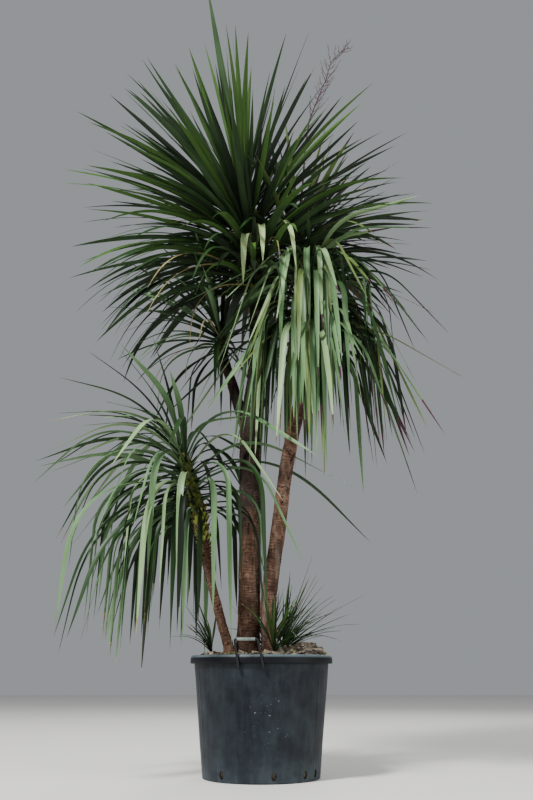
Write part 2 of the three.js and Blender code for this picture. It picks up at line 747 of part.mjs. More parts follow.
// Bent wire hooked under the lip, with a grip on its bar
function handleSolids() {
  const [left, right] = HANDLE_X;
  const leg = (top, lean) => {
    const foot = top + lean;
    const place = (inward, z) => {
      const reach = lipReach(top, foot) + WIRE_RADIUS + GAP - inward;
      return new THREE.Vector3(foot, -Math.sqrt(reach * reach - foot * foot), z);
    };
    const lip = place(0, HANDLE_FOOT + 10);
    return [place(15, HANDLE_FOOT + 14), place(6, HANDLE_FOOT), lip, lip.clone().setX(top).setZ(HANDLE_TOP)];
  };
  const leftLeg = leg(left, HANDLE_LEAN[0]);
  const rightLeg = leg(right, HANDLE_LEAN[1]).reverse();
  const bar = [leftLeg[3], rightLeg[0]];
  const body = wire([...leftLeg, ...rightLeg], WIRE_RADIUS, 8);
  const gripEnds = [bar[0].clone().lerp(bar[1], 0.1), bar[0].clone().lerp(bar[1], 0.9)];
  const solidGrip = wire(gripEnds, GRIP_RADIUS, 8);
  const bore = wire([bar[0], bar[1]], WIRE_RADIUS + GAP * 1.4, 8);
  return { body, grip: solidGrip.subtract(bore) };
}

function turned(solid) {
  return solid.rotate([0, 0, 180]);
}

// Suckers

function suckerSolid(sucker) {
  const foot = new THREE.Vector3(sucker.foot[0], sucker.foot[1], SOIL_SEAT);
  const u = new THREE.Vector3(1, 0, 0);
  const v = new THREE.Vector3(0, 1, 0);
  const stub = loft([
    ring(foot, u, v, SUCKER_STUB, 8),
    ring(foot.clone().setZ(SOIL_SEAT + 40), u, v, SUCKER_STUB * 0.8, 8),
  ]);
  stand(sucker.name, stub);
  const solids = [stub];
  for (let i = 0; i < sucker.leaves; i += 1) {
    const r = (k) => chance(sucker.seed * 1000 + i, k);
    const leaf = placeLeaf(sucker.name, (nudge, trim) => {
      const wide = (sucker.leaves - i) / sucker.leaves;
      const face = sucker.toward * DEG + mix(-1, 1, r(0)) * 1.7 + nudge * DEG;
      const length = sucker.length * mix(0.6, 1, r(1)) * trim;
      const start = foot.clone().setZ(SOIL_SEAT + mix(12, 36, 1 - wide));
      const course = leafCourse(null, {
        start,
        rise: (90 - sucker.lean * mix(0.25, 1, wide)) * DEG,
        face,
        length,
        bend: mix(10, 60, r(2)) * wide * DEG,
        from: 0,
        to: 1,
        sway: mix(-10, 10, r(3)) * DEG,
        roll: 0,
        twist: mix(-40, 40, r(4)) * DEG,
        width: SUCKER_WIDTH * mix(0.8, 1.2, r(5)),
      }, 3);
      return blade(course, length);
    });
    if (leaf) {
      solids.push(leaf);
    }
  }
  return solids;
}

// Assembly

const plant = new THREE.Group();
plant.name = "potted_cordyline";

const LOOKS = {
  pot: [0x33373c, 0.7], soil: [0x5a4632, 1], wire: [0x26282b, 0.6], grip: [0xa9adab, 0.5],
  bark: [0x7c5a42, 0.95], bough: [0x6d5140, 0.95], stalk: [0x5d4350, 0.9], sucker: [0x5f8552, 0.6],
};

function addPart(name, solid, colour, roughness) {
  const material = new THREE.MeshStandardMaterial({ color: colour, roughness, metalness: 0 });
  const mesh = new THREE.Mesh(toGeometry(solid), material);
  mesh.name = name;
  plant.add(mesh);
}

const headNamed = (name) => HEADS.find((head) => head.name === name);

const limbs = {
  trunk: [withHead(TRUNK, headNamed("crown")), 12, 80, 1],
  right_stem: [withHead(RIGHT_STEM, headNamed("weeping_head")), 10, 84, 2],
  left_stem: [withHead(LEFT_STEM, headNamed("left_head")), 8, 55, 3],
  left_fork_bough: [withHead(LEFT_FORK, headNamed("left_fork_head")), 8, 55, 4],
  right_fork_bough: [withHead(RIGHT_FORK, headNamed("right_fork_head")), 8, 55, 5],
};

const trunkClearance = limb(...limbs.trunk, GAP);
const stalkClearance = stalkSolid(GAP);
const stalk = mainBody(stalkSolid(0));

const seats = [TRUNK[0], RIGHT_STEM[0], LEFT_STEM[0]].map(seat);
SUCKERS.forEach(({ foot }) => seats.push(seat([...foot, 0, SUCKER_STUB])));

const pot = potSolid();
const soil = mainBody(soilSolid(seats));
const handle = handleSolids();
const fixed = {
  pot: [pot, LOOKS.pot],
  soil: [soil, LOOKS.soil],
  front_handle: [handle.body, LOOKS.wire],
  front_grip: [handle.grip, LOOKS.grip],
  back_handle: [turned(handle.body), LOOKS.wire],
  back_grip: [turned(handle.grip), LOOKS.grip],
};

for (const [name, [stations, sides, step, seed]] of Object.entries(limbs)) {
  let solid = limb(stations, sides, step, seed);
  const look = name.endsWith("bough") ? LOOKS.bough : LOOKS.bark;
  if (name.endsWith("bough")) {
    solid = mainBody(solid.subtract(trunkClearance));
  }
  const stubs = STUBS[name.replace("_bough", "")] || [];
  stubs.forEach(([ax, ay, az, bx, by, bz, radius]) => {
    const ends = [new THREE.Vector3(ax, ay, az), new THREE.Vector3(bx, by, bz)];
    solid = solid.add(wire(ends, (t) => radius * mix(1, 0.8, t), 6));
  });
  fixed[name] = [solid, look];
}
fixed.dead_flower_stalk = [stalk, LOOKS.stalk];

for (const [name, [solid, [colour, roughness]]] of Object.entries(fixed)) {
  stand(name, solid);
  addPart(name, solid, colour, roughness);
}

const cores = HEADS.map(headCores);
HEADS.forEach((head, k) => growLeaves(head, cores[k]));
HEADS.forEach((head, k) => cores[k].forEach((solids, name) => {
  addPart(name, mainBody(wasm.Manifold.union(solids)).simplify(FINEST), head.colour, 0.55);
}));
for (const sucker of SUCKERS) {
  const whole = mainBody(wasm.Manifold.union(suckerSolid(sucker)));
  addPart(sucker.name, whole, ...LOOKS.sucker);
}

export default plant;
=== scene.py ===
"""A tall cordyline with several heads of sword leaves, in a nursery pot with two handles."""

import math
from functools import partial

import bpy
import numpy as np
from bpy.props import FloatProperty, FloatVectorProperty, IntProperty, PointerProperty
from bpy.types import Operator, Panel, PropertyGroup
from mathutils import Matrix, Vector


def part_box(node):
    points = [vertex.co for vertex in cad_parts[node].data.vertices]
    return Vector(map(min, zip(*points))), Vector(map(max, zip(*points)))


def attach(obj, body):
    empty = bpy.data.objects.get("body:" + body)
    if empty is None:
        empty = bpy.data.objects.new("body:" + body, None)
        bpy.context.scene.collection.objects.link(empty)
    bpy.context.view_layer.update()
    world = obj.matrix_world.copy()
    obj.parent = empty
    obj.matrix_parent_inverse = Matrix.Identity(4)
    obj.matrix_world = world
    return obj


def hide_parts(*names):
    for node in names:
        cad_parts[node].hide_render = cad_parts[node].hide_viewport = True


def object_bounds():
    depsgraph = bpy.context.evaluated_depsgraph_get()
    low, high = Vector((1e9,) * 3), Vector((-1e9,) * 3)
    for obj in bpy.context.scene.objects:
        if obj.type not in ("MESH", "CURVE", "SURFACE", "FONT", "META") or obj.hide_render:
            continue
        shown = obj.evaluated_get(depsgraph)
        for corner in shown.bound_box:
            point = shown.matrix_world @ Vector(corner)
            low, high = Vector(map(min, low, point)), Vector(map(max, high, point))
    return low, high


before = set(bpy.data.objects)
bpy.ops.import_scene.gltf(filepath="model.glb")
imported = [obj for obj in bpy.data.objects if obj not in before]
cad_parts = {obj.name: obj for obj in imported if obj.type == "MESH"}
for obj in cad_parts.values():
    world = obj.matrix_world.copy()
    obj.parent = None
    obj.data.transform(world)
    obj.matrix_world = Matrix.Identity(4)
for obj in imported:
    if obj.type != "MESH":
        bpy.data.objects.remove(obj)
CAD_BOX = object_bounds()

bl_info = {
    "name": "Potted cordyline",
    "version": (1, 0, 0),
    "blender": (4, 5, 0),
    "location": "3D View > Sidebar > Cordyline",
    "description": "Builds a tall cordyline with several heads of leaves in a nursery pot",
    "category": "Add Mesh",
}

# Sizes below are in millimetres, in the frame's own axes; pieces are made in metres.
MM = 0.001
DEG = math.pi / 180
GOLDEN_ANGLE = 137.508 * DEG
# Keeps a whole number to 32 bits
WORD = 0xFFFFFFFF

# Limbs: x, y, z and radius at each station
TRUNK = [
    (-54, 0, 448, 52), (-53, 0, 485, 47), (-50, 0, 660, 44), (-49, 2, 1070, 44),
    (-47, 10, 1400, 45), (-26, 15, 1608, 40), (-16, 20, 1850, 40), (-18, 20, 2030, 38),
]
RIGHT_STEM = [
    (33, -42, 448, 36), (32, -41, 490, 32), (28, -40, 657, 31), (62, -47, 890, 29),
    (95, -60, 1142, 28), (125, -70, 1311, 28), (184, -90, 1571, 27), (203, -100, 1760, 27),
]
LEFT_STEM = [
    (-122, -59, 448, 25), (-130, -61, 482, 20), (-159, -70, 578, 18), (-192, -80, 693, 17),
    (-217, -90, 790, 18), (-235, -99, 888, 21), (-254, -106, 975, 24),
]
LEFT_FORK = [
    (-47, 15, 1370, 30), (-84, 42, 1450, 27), (-111, 60, 1530, 24), (-140, 90, 1634, 22),
    (-172, 116, 1745, 20), (-178, 124, 1785, 19),
]
RIGHT_FORK = [
    (-16, 22, 1850, 28), (22, 62, 1950, 27), (59, 90, 2028, 26), (100, 118, 2110, 24),
    (126, 134, 2172, 22),
]
# Short dead stubs on a limb: foot, end and radius, and the seed of the bark
STUBS = {
    "trunk": ((-30, -12, 1440), (22, -38, 1500), 13, 71),
    "left_fork_bough": ((-150, 94, 1652), (-190, 88, 1730), 10, 72),
}
# Columns of the mesh round each limb
LIMB_SIDES = {
    "trunk": 84, "right_stem": 64, "left_stem": 48, "left_fork_bough": 44,
    "right_fork_bough": 44,
}
# Spacing of the mesh's rings up a limb, the share by which a bough swells at its foot, and
# how far up it does
BARK_STEP = 3.2
COLLAR = 0.3
COLLAR_REACH = 55

# The rule for each head, as in the solids. foot and tip are those of its stem, and sheath
# is the radius of its leaf bases. length, spread and droop have low, middle and high values
# up the stem: millimetres, degrees off the stem and degrees of fall. fall is the share of
# the leaf where the fall begins and ends, stiff how much less a steep leaf falls, ragged
# how much shorter some are. Leaves crowd to the compass of favour, and arch further out to
# that of open. masses and bends are those of the solids, and slim narrows the solids'
# leaves, which are broad for their count. infill is how many finer leaves stand between
# them, and dry the share of the lower ones of those that are thin and dead. tones run from
# the shaded side of the head to the lit side. tips gives the share of leaves with a dry
# tip, how much of a leaf it takes at most, towards the open side, and its tone.
# Tones are painted light and shade: a leaf takes a lighter one the more it hangs to the lit side
HEADS = [
    {
        "name": "weeping_head", "slot": "weeping_leaves", "seed": 2046,
        "foot": (204, -100, 1770), "tip": (216, -110, 2030), "sheath": 42, "leaves": 71,
        "length": (870, 870, 770), "spread": (98, 96, 14), "droop": (57, 115, 144),
        "fall": (0, 0.45), "stiff": 0.1, "width": 34, "ragged": 0.15,
        "masses": 6, "bends": 4, "favour": (-84, 0.57), "open": (-17, 0.3),
        "slim": 0.72, "infill": 150, "dry": 0.04,
        "tones": ("deep", "mid", "mid", "grey", "olive", "grey", "grey", "pale"),
        "tips": (0.6, 0.34, "wine"),
    },
    {
        "name": "left_head", "slot": "left_head_leaves", "seed": 5257,
        "foot": (-255, -107, 985), "tip": (-330, -124, 1255), "sheath": 38, "leaves": 55,
        "length": (780, 970, 690), "spread": (89, 85, 22), "droop": (101, 128, 78),
        "fall": (0, 0.58), "stiff": 0.3, "width": 38, "ragged": 0.25,
        "masses": 6, "bends": 4, "favour": (155, 0.62), "open": (183, 0.47),
        "slim": 0.68, "infill": 78, "dry": 0.03,
        "tones": ("deep", "mid", "grey", "mid", "grey", "grey", "pale"),
        "tips": (0.4, 0.14, "straw"),
    },
    {
        "name": "right_fork_head", "slot": "fork_leaves", "seed": 495,
        "foot": (126, 134, 2180), "tip": (186, 166, 2390), "sheath": 36, "leaves": 42,
        "length": (750, 680, 630), "spread": (85, 56, 12), "droop": (62, 47, 10),
        "fall": (0.02, 0.85), "stiff": 0.5, "width": 32, "ragged": 0.15,
        "masses": 4, "bends": 3, "favour": (70, 0.1), "open": (0, 0),
        "slim": 0.9, "infill": 70, "dry": 0.06,
        "tones": ("bronze", "deep", "deep", "mid", "olive"), "tips": (0.5, 0.18, "wine"),
    },
    {
        "name": "left_fork_head", "slot": "fork_leaves", "seed": 4068,
        "foot": (-178, 125, 1792), "tip": (-196, 150, 1930), "sheath": 30, "leaves": 28,
        "length": (580, 550, 590), "spread": (118, 60, 15), "droop": (77, 40, 23),
        "fall": (0.02, 0.93), "stiff": 0.5, "width": 26, "ragged": 0.15,
        "masses": 3, "bends": 3, "favour": (217, 0.48), "open": (0, 0),
        "slim": 0.9, "infill": 40, "dry": 0.04,
        "tones": ("deep", "deep", "mid", "grey"), "tips": (0.3, 0.12, "straw"),
    },
    {
        "name": "crown", "slot": "crown_leaves", "seed": 8193,
        "foot": (-20, 20, 2045), "tip": (-94, 18, 2525), "sheath": 48, "leaves": 117,
        "length": (910, 890, 860), "spread": (88, 72, 22), "droop": (54, 26, 2),
        "fall": (0.05, 1), "stiff": 0.5, "width": 42, "ragged": 0.2,
        "masses": 6, "bends": 3, "favour": (215, 0.49), "open": (0, 0),
        "slim": 0.72, "infill": 230, "dry": 0.03,
        "tones": ("deep", "deep", "deep", "mid", "mid", "fresh"), "tips": (0.3, 0.09, "straw"),
    },
]
# Leaves that stand apart from the rule: share up the stem, compass and rise of the root,
# length, fall, sideways turn, width, tone
# The silver tone of the hanging leaves is painted light, for leaves in the full light
LONE_LEAVES = {
    "left_head": (
        (0.62, 41, 24, 1080, 62, -14, 32, "mid"),
        (0.55, 178, 32, 640, 46, 10, 50, "grey"),
        (0.94, 182, 58, 640, 44, 0, 34, "mid"),
        (0.97, 178, 64, 620, 28, 2, 32, "deep"),
        (0.95, 170, 71, 560, 20, 4, 32, "mid"),
        (0.97, 160, 79, 560, 8, 0, 30, "mid"),
    ),
    "crown": (
        (0.23, -98, 30, 560, 118, 6, 34, "silver"),
        (0.31, -80, 34, 520, 112, -8, 32, "silver"),
        (0.3, -62, 34, 640, 112, -8, 30, "silver"),
        (0.97, -115, 70, 1020, 4, 0, 40, "mid"),
    ),
}
# Between which values chance moves a leaf off the rule: degrees of its turn round the stem
# and of its lean, share of its fall, where the fall begins, degrees of roll and twist, and
# share of its width
SCATTER = {
    "turn": (-14, 14), "lean": (-10, 10), "fall": (0.6, 1.4), "from": (-0.06, 0.1),
    "roll": (-22, 22), "twist": (-75, 75), "width": (0.8, 1.12),
}
# Degrees that a leaf sways sideways at most
SWAY = 14
# What a leaf has where nothing else is said
PLAIN_LEAF = {"from": 0, "to": 1, "roll": 0, "twist": 0}
# Share of a head's stem with side leaves, width of the stem in its sheath, taper of the
# sheath, how far out in it a root starts, how many degrees that keeps off the edge of its
# wedge of the head, and how much of the wedge the leaves fill
STEM_SHARE = 0.84
STEM_IN_SHEATH = 0.5
SHEATH_TAPER = 0.42
TIP_ROOT = 0.45
SIDE_ROOT = 0.78
ROOT_MARGIN = 13
WEDGE_SPREAD = 0.86
# Blade: width at the neck, place of the widest part, steepest hang, how much the clasping
# base adds to the width and how far it reaches
NECK = 0.3
WIDEST = 0.38
STEEPEST = 87
CLASP_WIDTH = 0.45
CLASP_REACH = 0.05
# Thickness at the root and along the blade, and the share of it that is left at the point
THICKNESS = (3.2, 1.0)
POINT_THINNED = 0.6
# Share of its fall that is left to a leaf on the open side of a head
OPEN_FALL = 0.5
# Finer leaves: shares of length and width, how far up the stem dry ones go, width and fall
# of those, and how much darker all are, as painted shade inside the heads
FINER_LENGTH = (0.62, 0.98)
FINER_WIDTH = (0.6, 0.95)
DRY_BELOW = 0.6
DRY_WIDTH = 0.45
DRY_FALL = 1.7
FINER_PAINTED_SHADE = 0.16
# Keys of chance: how many each head or shoot has, where those of a head's finer leaves
# begin, how many a row of a shoot has, and where those of lone leaves, leaf bases, chips
# and twigs begin
HEAD_KEYS = 1000
FINER_KEYS = 500
ROW_KEYS = 400
LONE_KEYS = 500
SCALE_KEYS = 7000
CHIP_KEYS = 4000
TWIG_KEYS = 900
# How far leaves keep off the limbs and inside the solids' box, the share of its length that
# is left at each try to one past the box, the share by the root that may touch, and the
# space over the pot that leaves keep out of
LEAF_CLEARANCE = 4
BOX_MARGIN = 1
SHORTENED = 0.97
FREE_ROOT = 0.14
POT_REACH = 290
OVER_MULCH = 12
# Turn in degrees and share of the fall tried where a leaf would touch a limb or the pot
NUDGES = (
    (0, 1), (5, 1), (-5, 1), (0, 0.8), (0, 1.2), (10, 0.9), (-10, 0.9), (10, 1.2), (-10, 1.2),
    (16, 0.8), (-16, 0.8), (22, 1), (-22, 1),
)
# Free space before a hanging leaf: where along the leaf it begins, how far out its bars
# stand, and their radius
HANGS_FROM = 0.35
ROOM_AHEAD = (0, 50, 100, 150, 200)
ROOM_RADIUS = 30.0

# Tones of leaves, roughness and specular level of a blade and of its underside, the lit side
# of the plant, how much painted light lightens the tone of leaves there, and how much chance
# does either way
LIVING = ("deep", "mid", "fresh", "olive", "grey", "pale", "silver", "lime", "bronze")
DRY = ("straw", "wine", "husk")
BLADE_GLOSS = (0.46, 0.27)
UNDER_GLOSS = (0.7, 0.12)
LIT_SIDE = np.array([-0.45, -0.8, 0.4])
PAINTED_LIGHT = 0.34
TONE_STRAY = 0.44

# Painted shade on the limbs under the heads: how much it darkens the bark, the heights from
# and to which it sets in on each limb, and how far those wander
RIND_PAINTED_SHADE = (0.22, 0.24, 0.27)
PAINTED_SHADE_FROM = {
    "trunk": (900, 1060), "left_fork_bough": (1300, 1450), "right_fork_bough": (1300, 1450),
    "right_stem": (1480, 1700), "left_stem": (2000, 2100),
}
PAINTED_SHADE_WANDER = 150
# Dark and pale colours of the clasping leaf bases, on old heads and on the youngest; the old
# ones are that dark partly as painted shade in the heads' cores
BASE_COLOURS = {"old": ("1f1a10", "4d4a2a"), "young": ("20240e", "59622a")}
# Old leaf bases left on the left stem: heights from and to, and how many
SCALES = (772, 985, 120)

# Grassy shoots from the mulch: seed, foot, leaves in a row, length, lean and compass, how
# many rows they have and how wide their blades are
SUCKERS = {
    "sucker_right": (71, (84, -10), 12, 400, 62, -12),
    "sucker_back": (73, (22, 64), 8, 330, 44, 70),
    "sucker_front": (79, (46, -108), 8, 320, 58, -50),
    "sucker_left": (83, (-196, -20), 6, 230, 50, 170),
}
SUCKER_ROWS = 4
SUCKER_WIDTH = 7.5

# Dead flower stalk: stations of its curve, how many of them come before the first twigs,
# twigs between two stations, their length, and radii of stalk, twigs and twiglets from
# foot to tip
STALK = [
    (181, 160, 2368), (196, 128, 2640), (212, 86, 2860), (232, 62, 2990),
    (254, 60, 3050), (278, 60, 3118), (299, 60, 3177), (320, 60, 3226),
    (334, 60, 3286), (350, 60, 3340), (395, 60, 3390), (442, 60, 3428),
]
BARE_STATIONS = 4
TWIGS = 4
TWIG_LENGTH = 100
STALK_RADII = (4.4, 1.3)
TWIG_RADII = (1.3, 0.5)
TWIGLET_RADII = (0.7, 0.5, 0.3)

# Pot: thickness of its wall and of its floor
POT_WALL = 4
POT_FLOOR = 6
# Drain slots: compass, width and height, and height of the middle
DRAIN_ANGLES = (-142, -90, -39, 12, 45, 62, 115, 167)
DRAIN_SIZE = (20, 30)
DRAIN_LEVEL = 26
# Middle of the patch of lime specks on the wall, in metres
SPLASH = (0.025, -0.25, 0.215)
# Compass of the faint upright mould lines in the wall
MOULD_LINES = (-72, -66, -33, 58, 118, 171, 236)
# Mulch: height at the wall and round the stems, radius that is level, gap over the pot's
# floor, how far it keeps off the wall at its top and foot, columns round it, and height,
# middle and spread of the heap
SOIL_EDGE = 424
SOIL_SEAT = 448
PLATEAU = 225
MULCH_GAP = 0.35
OFF_WALL = (2.7, 2)
MULCH_SIDES = 120
MULCH_HEAP = 38
HEAP_CENTRE = (165, -10)
HEAP_SPREAD = (85, 130)
# How far chips keep inside the mulch's edge, the share of them that are moss, and the
# corners and faces of a chip before it is broken
CHIPS_INSIDE = 12
MOSSY = 0.14
BOX_CORNERS = np.array([[a, b, c] for a in (-1, 1) for b in (-1, 1) for c in (-1, 1)], float)
BOX_FACES = ((0, 1, 3, 2), (4, 6, 7, 5), (0, 4, 5, 1), (2, 3, 7, 6), (0, 2, 6, 4), (1, 5, 7, 3))
# Handles: height of the bar and of the hooks, and for each leg its place along the bar and
# how far to the right of that its hook stands
HANDLE_TOP = 498
HANDLE_FOOT = 394
HANDLE_X = (-98, -12)
HANDLE_LEAN = (15, 20)
# Gap between a leg and the lip, how round the wire is bent, and the points of a hook: how
# far in from the leg, and how high over the hook's lowest one
LIP_GAP = 0.5
WIRE_BEND = 9
HOOK = ((15, 14), (6, 0), (0, 10))

# Stage, in metres: half the floor's width, what the lamps look at, each lamp's place and
# width, and how far to the right of the pot's axis the camera stands
FLOOR_HALF = 14
PLANT_MIDDLE = (0, 0, 1.7)
LAMPS = {
    "key": ((-3.4, -4.1, 6.4), 1.2),
    "fill": ((4.2, -2.6, 2.4), 4.0),
    "back": ((1.2, 4.4, 4.6), 3.5),
}
CAMERA_RIGHT = 0.020


# Numbers


def linear(hex_colour):
    """An sRGB hex colour as linear red, green and blue."""
    parts = [int(hex_colour[k : k + 2], 16) / 255 for k in (0, 2, 4)]
    return tuple(c / 12.92 if c <= 0.04045 else ((c + 0.055) / 1.055) ** 2.4 for c in parts)


def chance(seed, k):
    """A number from 0 to 1 that depends only on a seed and a place in the row. The large
    numbers only scatter the bits, as in lattice."""
    x = (seed * 374761393 + k * 668265263 + 974634777) & WORD
    x = ((x ^ (x >> 13)) * 1274126177) & WORD
    x = ((x ^ (x >> 15)) * 2246822519) & WORD
    return ((x ^ (x >> 16)) & 0xFFFFFF) / 0x1000000


def mix(a, b, t):
    return a + (b - a) * t


def between(values, t):
    low, middle, high = values
    return mix(low, middle, t * 2) if t < 0.5 else mix(middle, high, t * 2 - 1)


def smooth(low, high, x):
    t = np.clip((x - low) / (high - low), 0, 1)
    return t * t * (3 - 2 * t)


def unit(vector):
    """A vector made one long."""
    return vector / np.linalg.norm(vector)


def heading(angle):
    """The level direction at an angle from +X towards +Y."""
    return np.array([math.cos(angle), math.sin(angle), 0])


def lattice(cell, seed):
    """A steady number from 0 to 1 for each cell of a grid."""
    c = cell.astype(np.int64)
    x = c[..., 0] * 374761393 + c[..., 1] * 668265263 + c[..., 2] * 2147483647 + seed * 974634777
    x = x & WORD
    x = ((x ^ (x >> 13)) * 1274126177) & WORD
    return ((x ^ (x >> 16)) & 0xFFFFFF) / 0x1000000


def lumps(points, seed):
    """Smooth noise from 0 to 1 with one lump per unit."""
    cell = np.floor(points)
    f = points - cell
    f = f * f * (3 - 2 * f)
    total = 0
    for corner in range(8):
        step = np.array([corner & 1, corner >> 1 & 1, corner >> 2 & 1])
        weight = np.prod(np.where(step, f, 1 - f), axis=-1)
        total = total + weight * lattice(cell + step, seed)
    return total


# Meshes


def make_piece(name, points, faces, materials, face_material=None, uv=None, sharp=None):
    """A smooth-shaded mesh object from points in millimetres; it rides on the plant's body."""
    mesh = bpy.data.meshes.new(name)
    points = np.asarray(points, float) * MM
    mesh.from_pydata(points.tolist(), [], [list(map(int, f)) for f in faces])
    for material in materials:
        mesh.materials.append(material)
    if face_material is not None:
        mesh.polygons.foreach_set("material_index", np.asarray(face_material, np.int32))
    mesh.polygons.foreach_set("use_smooth", np.ones(len(mesh.polygons), bool))
    if uv is not None:
        layer = mesh.uv_layers.new(name="blade")
        corner = np.zeros(len(mesh.loops), np.int32)
        mesh.loops.foreach_get("vertex_index", corner)
        layer.data.foreach_set("uv", np.asarray(uv, np.float32)[corner].ravel())
    mesh.update(calc_edges=True)
    if sharp is not None:
        ends = np.zeros(len(mesh.edges) * 2, np.int32)
        mesh.edges.foreach_get("vertices", ends)
        ends = ends.reshape(-1, 2)
        marked = sharp[ends[:, 0]] & sharp[ends[:, 1]]
        attribute = mesh.attributes.new("sharp_edge", "BOOLEAN", "EDGE")
        attribute.data.foreach_set("value", marked)
    piece = bpy.data.objects.new(name, mesh)
    bpy.context.scene.collection.objects.link(piece)
    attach(piece, "root")
    return piece


def join_parts(parts):
    """Points and faces of several parts as one."""
    points = []
    faces = []
    base = 0
    for part_points, part_faces in parts:
        points.append(np.asarray(part_points, float))
        faces += [[k + base for k in face] for face in part_faces]
        base += len(part_points)
    return np.concatenate(points), faces


def skin_faces(rings, sides, cap=True):
    """Faces of a tube of rings with equal sides, closed by flat ends."""
    faces = []
    for r in range(rings - 1):
        for k in range(sides):
            a = r * sides + k
            b = r * sides + (k + 1) % sides
            faces.append((a, b, b + sides, a + sides))
    if cap:
        faces.append(tuple(range(sides))[::-1])
        faces.append(tuple(range((rings - 1) * sides, rings * sides)))
    return faces


def sweep(path, radius, sides, first=(0, 1, 0)):
    """A round bar along a path; radius is a number or one for each point."""
    path = np.asarray(path, float)
    radii = np.broadcast_to(np.asarray(radius, float), (len(path),))
    turn = np.linspace(0, 2 * math.pi, sides, endpoint=False)
    u = np.array(first, float)
    rings = []
    for k, centre in enumerate(path):
        along = unit(path[min(k + 1, len(path) - 1)] - path[max(k - 1, 0)])
        u = unit(u - along * (u @ along))
        v = np.cross(along, u)
        rings.append(centre + radii[k] * (np.cos(turn)[:, None] * u + np.sin(turn)[:, None] * v))
    return np.concatenate(rings), skin_faces(len(path), sides)


def rounded(path, reach, steps=5):
    """A path with each corner rounded off over a reach to both sides."""
    path = [np.asarray(p, float) for p in path]
    made = [path[0]]
    for before, corner, after in zip(path, path[1:], path[2:]):
        a = corner + (before - corner) * min(0.45, reach / np.linalg.norm(before - corner))
        b = corner + (after - corner) * min(0.45, reach / np.linalg.norm(after - corner))
        for t in np.linspace(0, 1, steps + 1):
            made.append(a * (1 - t) ** 2 + corner * 2 * t * (1 - t) + b * t * t)
    made.append(path[-1])
    return made


def revolve(profile, angles):
    """A turned shape from radius and height pairs that start and end on the axis."""
    rows = profile[1:-1]
    ring = np.stack([np.sin(angles), -np.cos(angles)], 1)
    points = [np.column_stack([ring * r, np.full(len(angles), z)]) for r, z in rows]
    points.append(np.array([[0, 0, profile[0][1]], [0, 0, profile[-1][1]]]))
    count = len(angles)
    faces = [f[::-1] for f in skin_faces(len(rows), count, cap=False)]
    foot = len(rows) * count
    last = (len(rows) - 1) * count
    for k in range(count):
        n = (k + 1) % count
        faces.append((foot, k, n))
        faces.append((foot + 1, last + n, last + k))
    return np.concatenate(points), faces


# Materials


# Sockets of a colour mix: the share of the second colour, the two colours and what comes out
SHARE, FIRST, SECOND, MIXED = 0, 6, 7, 2
BLEND, MULTIPLY, ADD = (
    {"data_type": "RGBA", "blend_type": kind} for kind in ("MIX", "MULTIPLY", "ADD")
)
BLACK = (0.0, 0.0, 0.0)
WHITE = (1.0, 1.0, 1.0)


def add_node(tree, kind, inputs=None, settings=None, output=0):
    """Adds a node and gives back one of its outputs. inputs holds a value, a colour or a
    linked output for each input, and settings what the node itself is set to; the stops of
    a ramp are places with linear colours."""
    node = tree.nodes.new(f"ShaderNode{kind}")
    for key, value in (settings or {}).items():
        if key != "stops":
            setattr(node, key, value)
            continue
        elements = node.color_ramp.elements
        while len(elements) < len(value):
            elements.new(0.5)
        for element, (place, colour) in zip(elements, value):
            element.position = place
            element.color = (*colour, 1)
    for key, value in (inputs or {}).items():
        socket = node.inputs[key]
        if isinstance(value, bpy.types.NodeSocket):
            tree.links.new(value, socket)
        else:
            socket.default_value = (*value, 1) if socket.type == "RGBA" else value
    return node.outputs[output]


def pattern(tree, scale, detail, roughness=0.5, stretch=(1, 1, 1), source="Object"):
    """Noise from 0 to 1 over the object; scale is lumps per metre."""
    place = add_node(tree, "TexCoord", output=source)
    place = add_node(tree, "Mapping", {"Vector": place, "Scale": stretch})
    return add_node(
        tree,
        "TexNoise",
        {"Vector": place, "Scale": scale, "Detail": detail, "Roughness": roughness},
    )


def new_material(name, roughness, specular, ior=1.5):
    """A material with the gloss of its surface set."""
    material = bpy.data.materials.new(name)
    material.use_nodes = True
    surface = material.node_tree.nodes["Principled BSDF"].inputs
    surface["Roughness"].default_value = roughness
    surface["Specular IOR Level"].default_value = specular
    surface["IOR"].default_value = ior
    return material


def dress(material, colour, height, depth, strength):
    """Gives a material its colour, and its relief with the real depth in metres."""
    tree = material.node_tree
    surface = tree.nodes["Principled BSDF"].inputs
    bump = add_node(tree, "Bump", {"Height": height, "Distance": depth, "Strength": strength})
    tree.links.new(colour, surface["Base Color"])
    tree.links.new(bump, surface["Normal"])
    return material


def blotched_material(name, gloss, blotches, stops, relief):
    """A material of two shades. gloss is its roughness and specular level, blotches their
    number per metre, detail and roughness, and relief its depth and strength."""
    material = new_material(name, *gloss)
    lump = pattern(material.node_tree, *blotches)
    colour = add_node(material.node_tree, "ValToRGB", {"Fac": lump}, {"stops": stops})
    return dress(material, colour, lump, *relief)


def tinted(colour, factor):
    return tuple(min(1.0, c * factor) for c in colour)


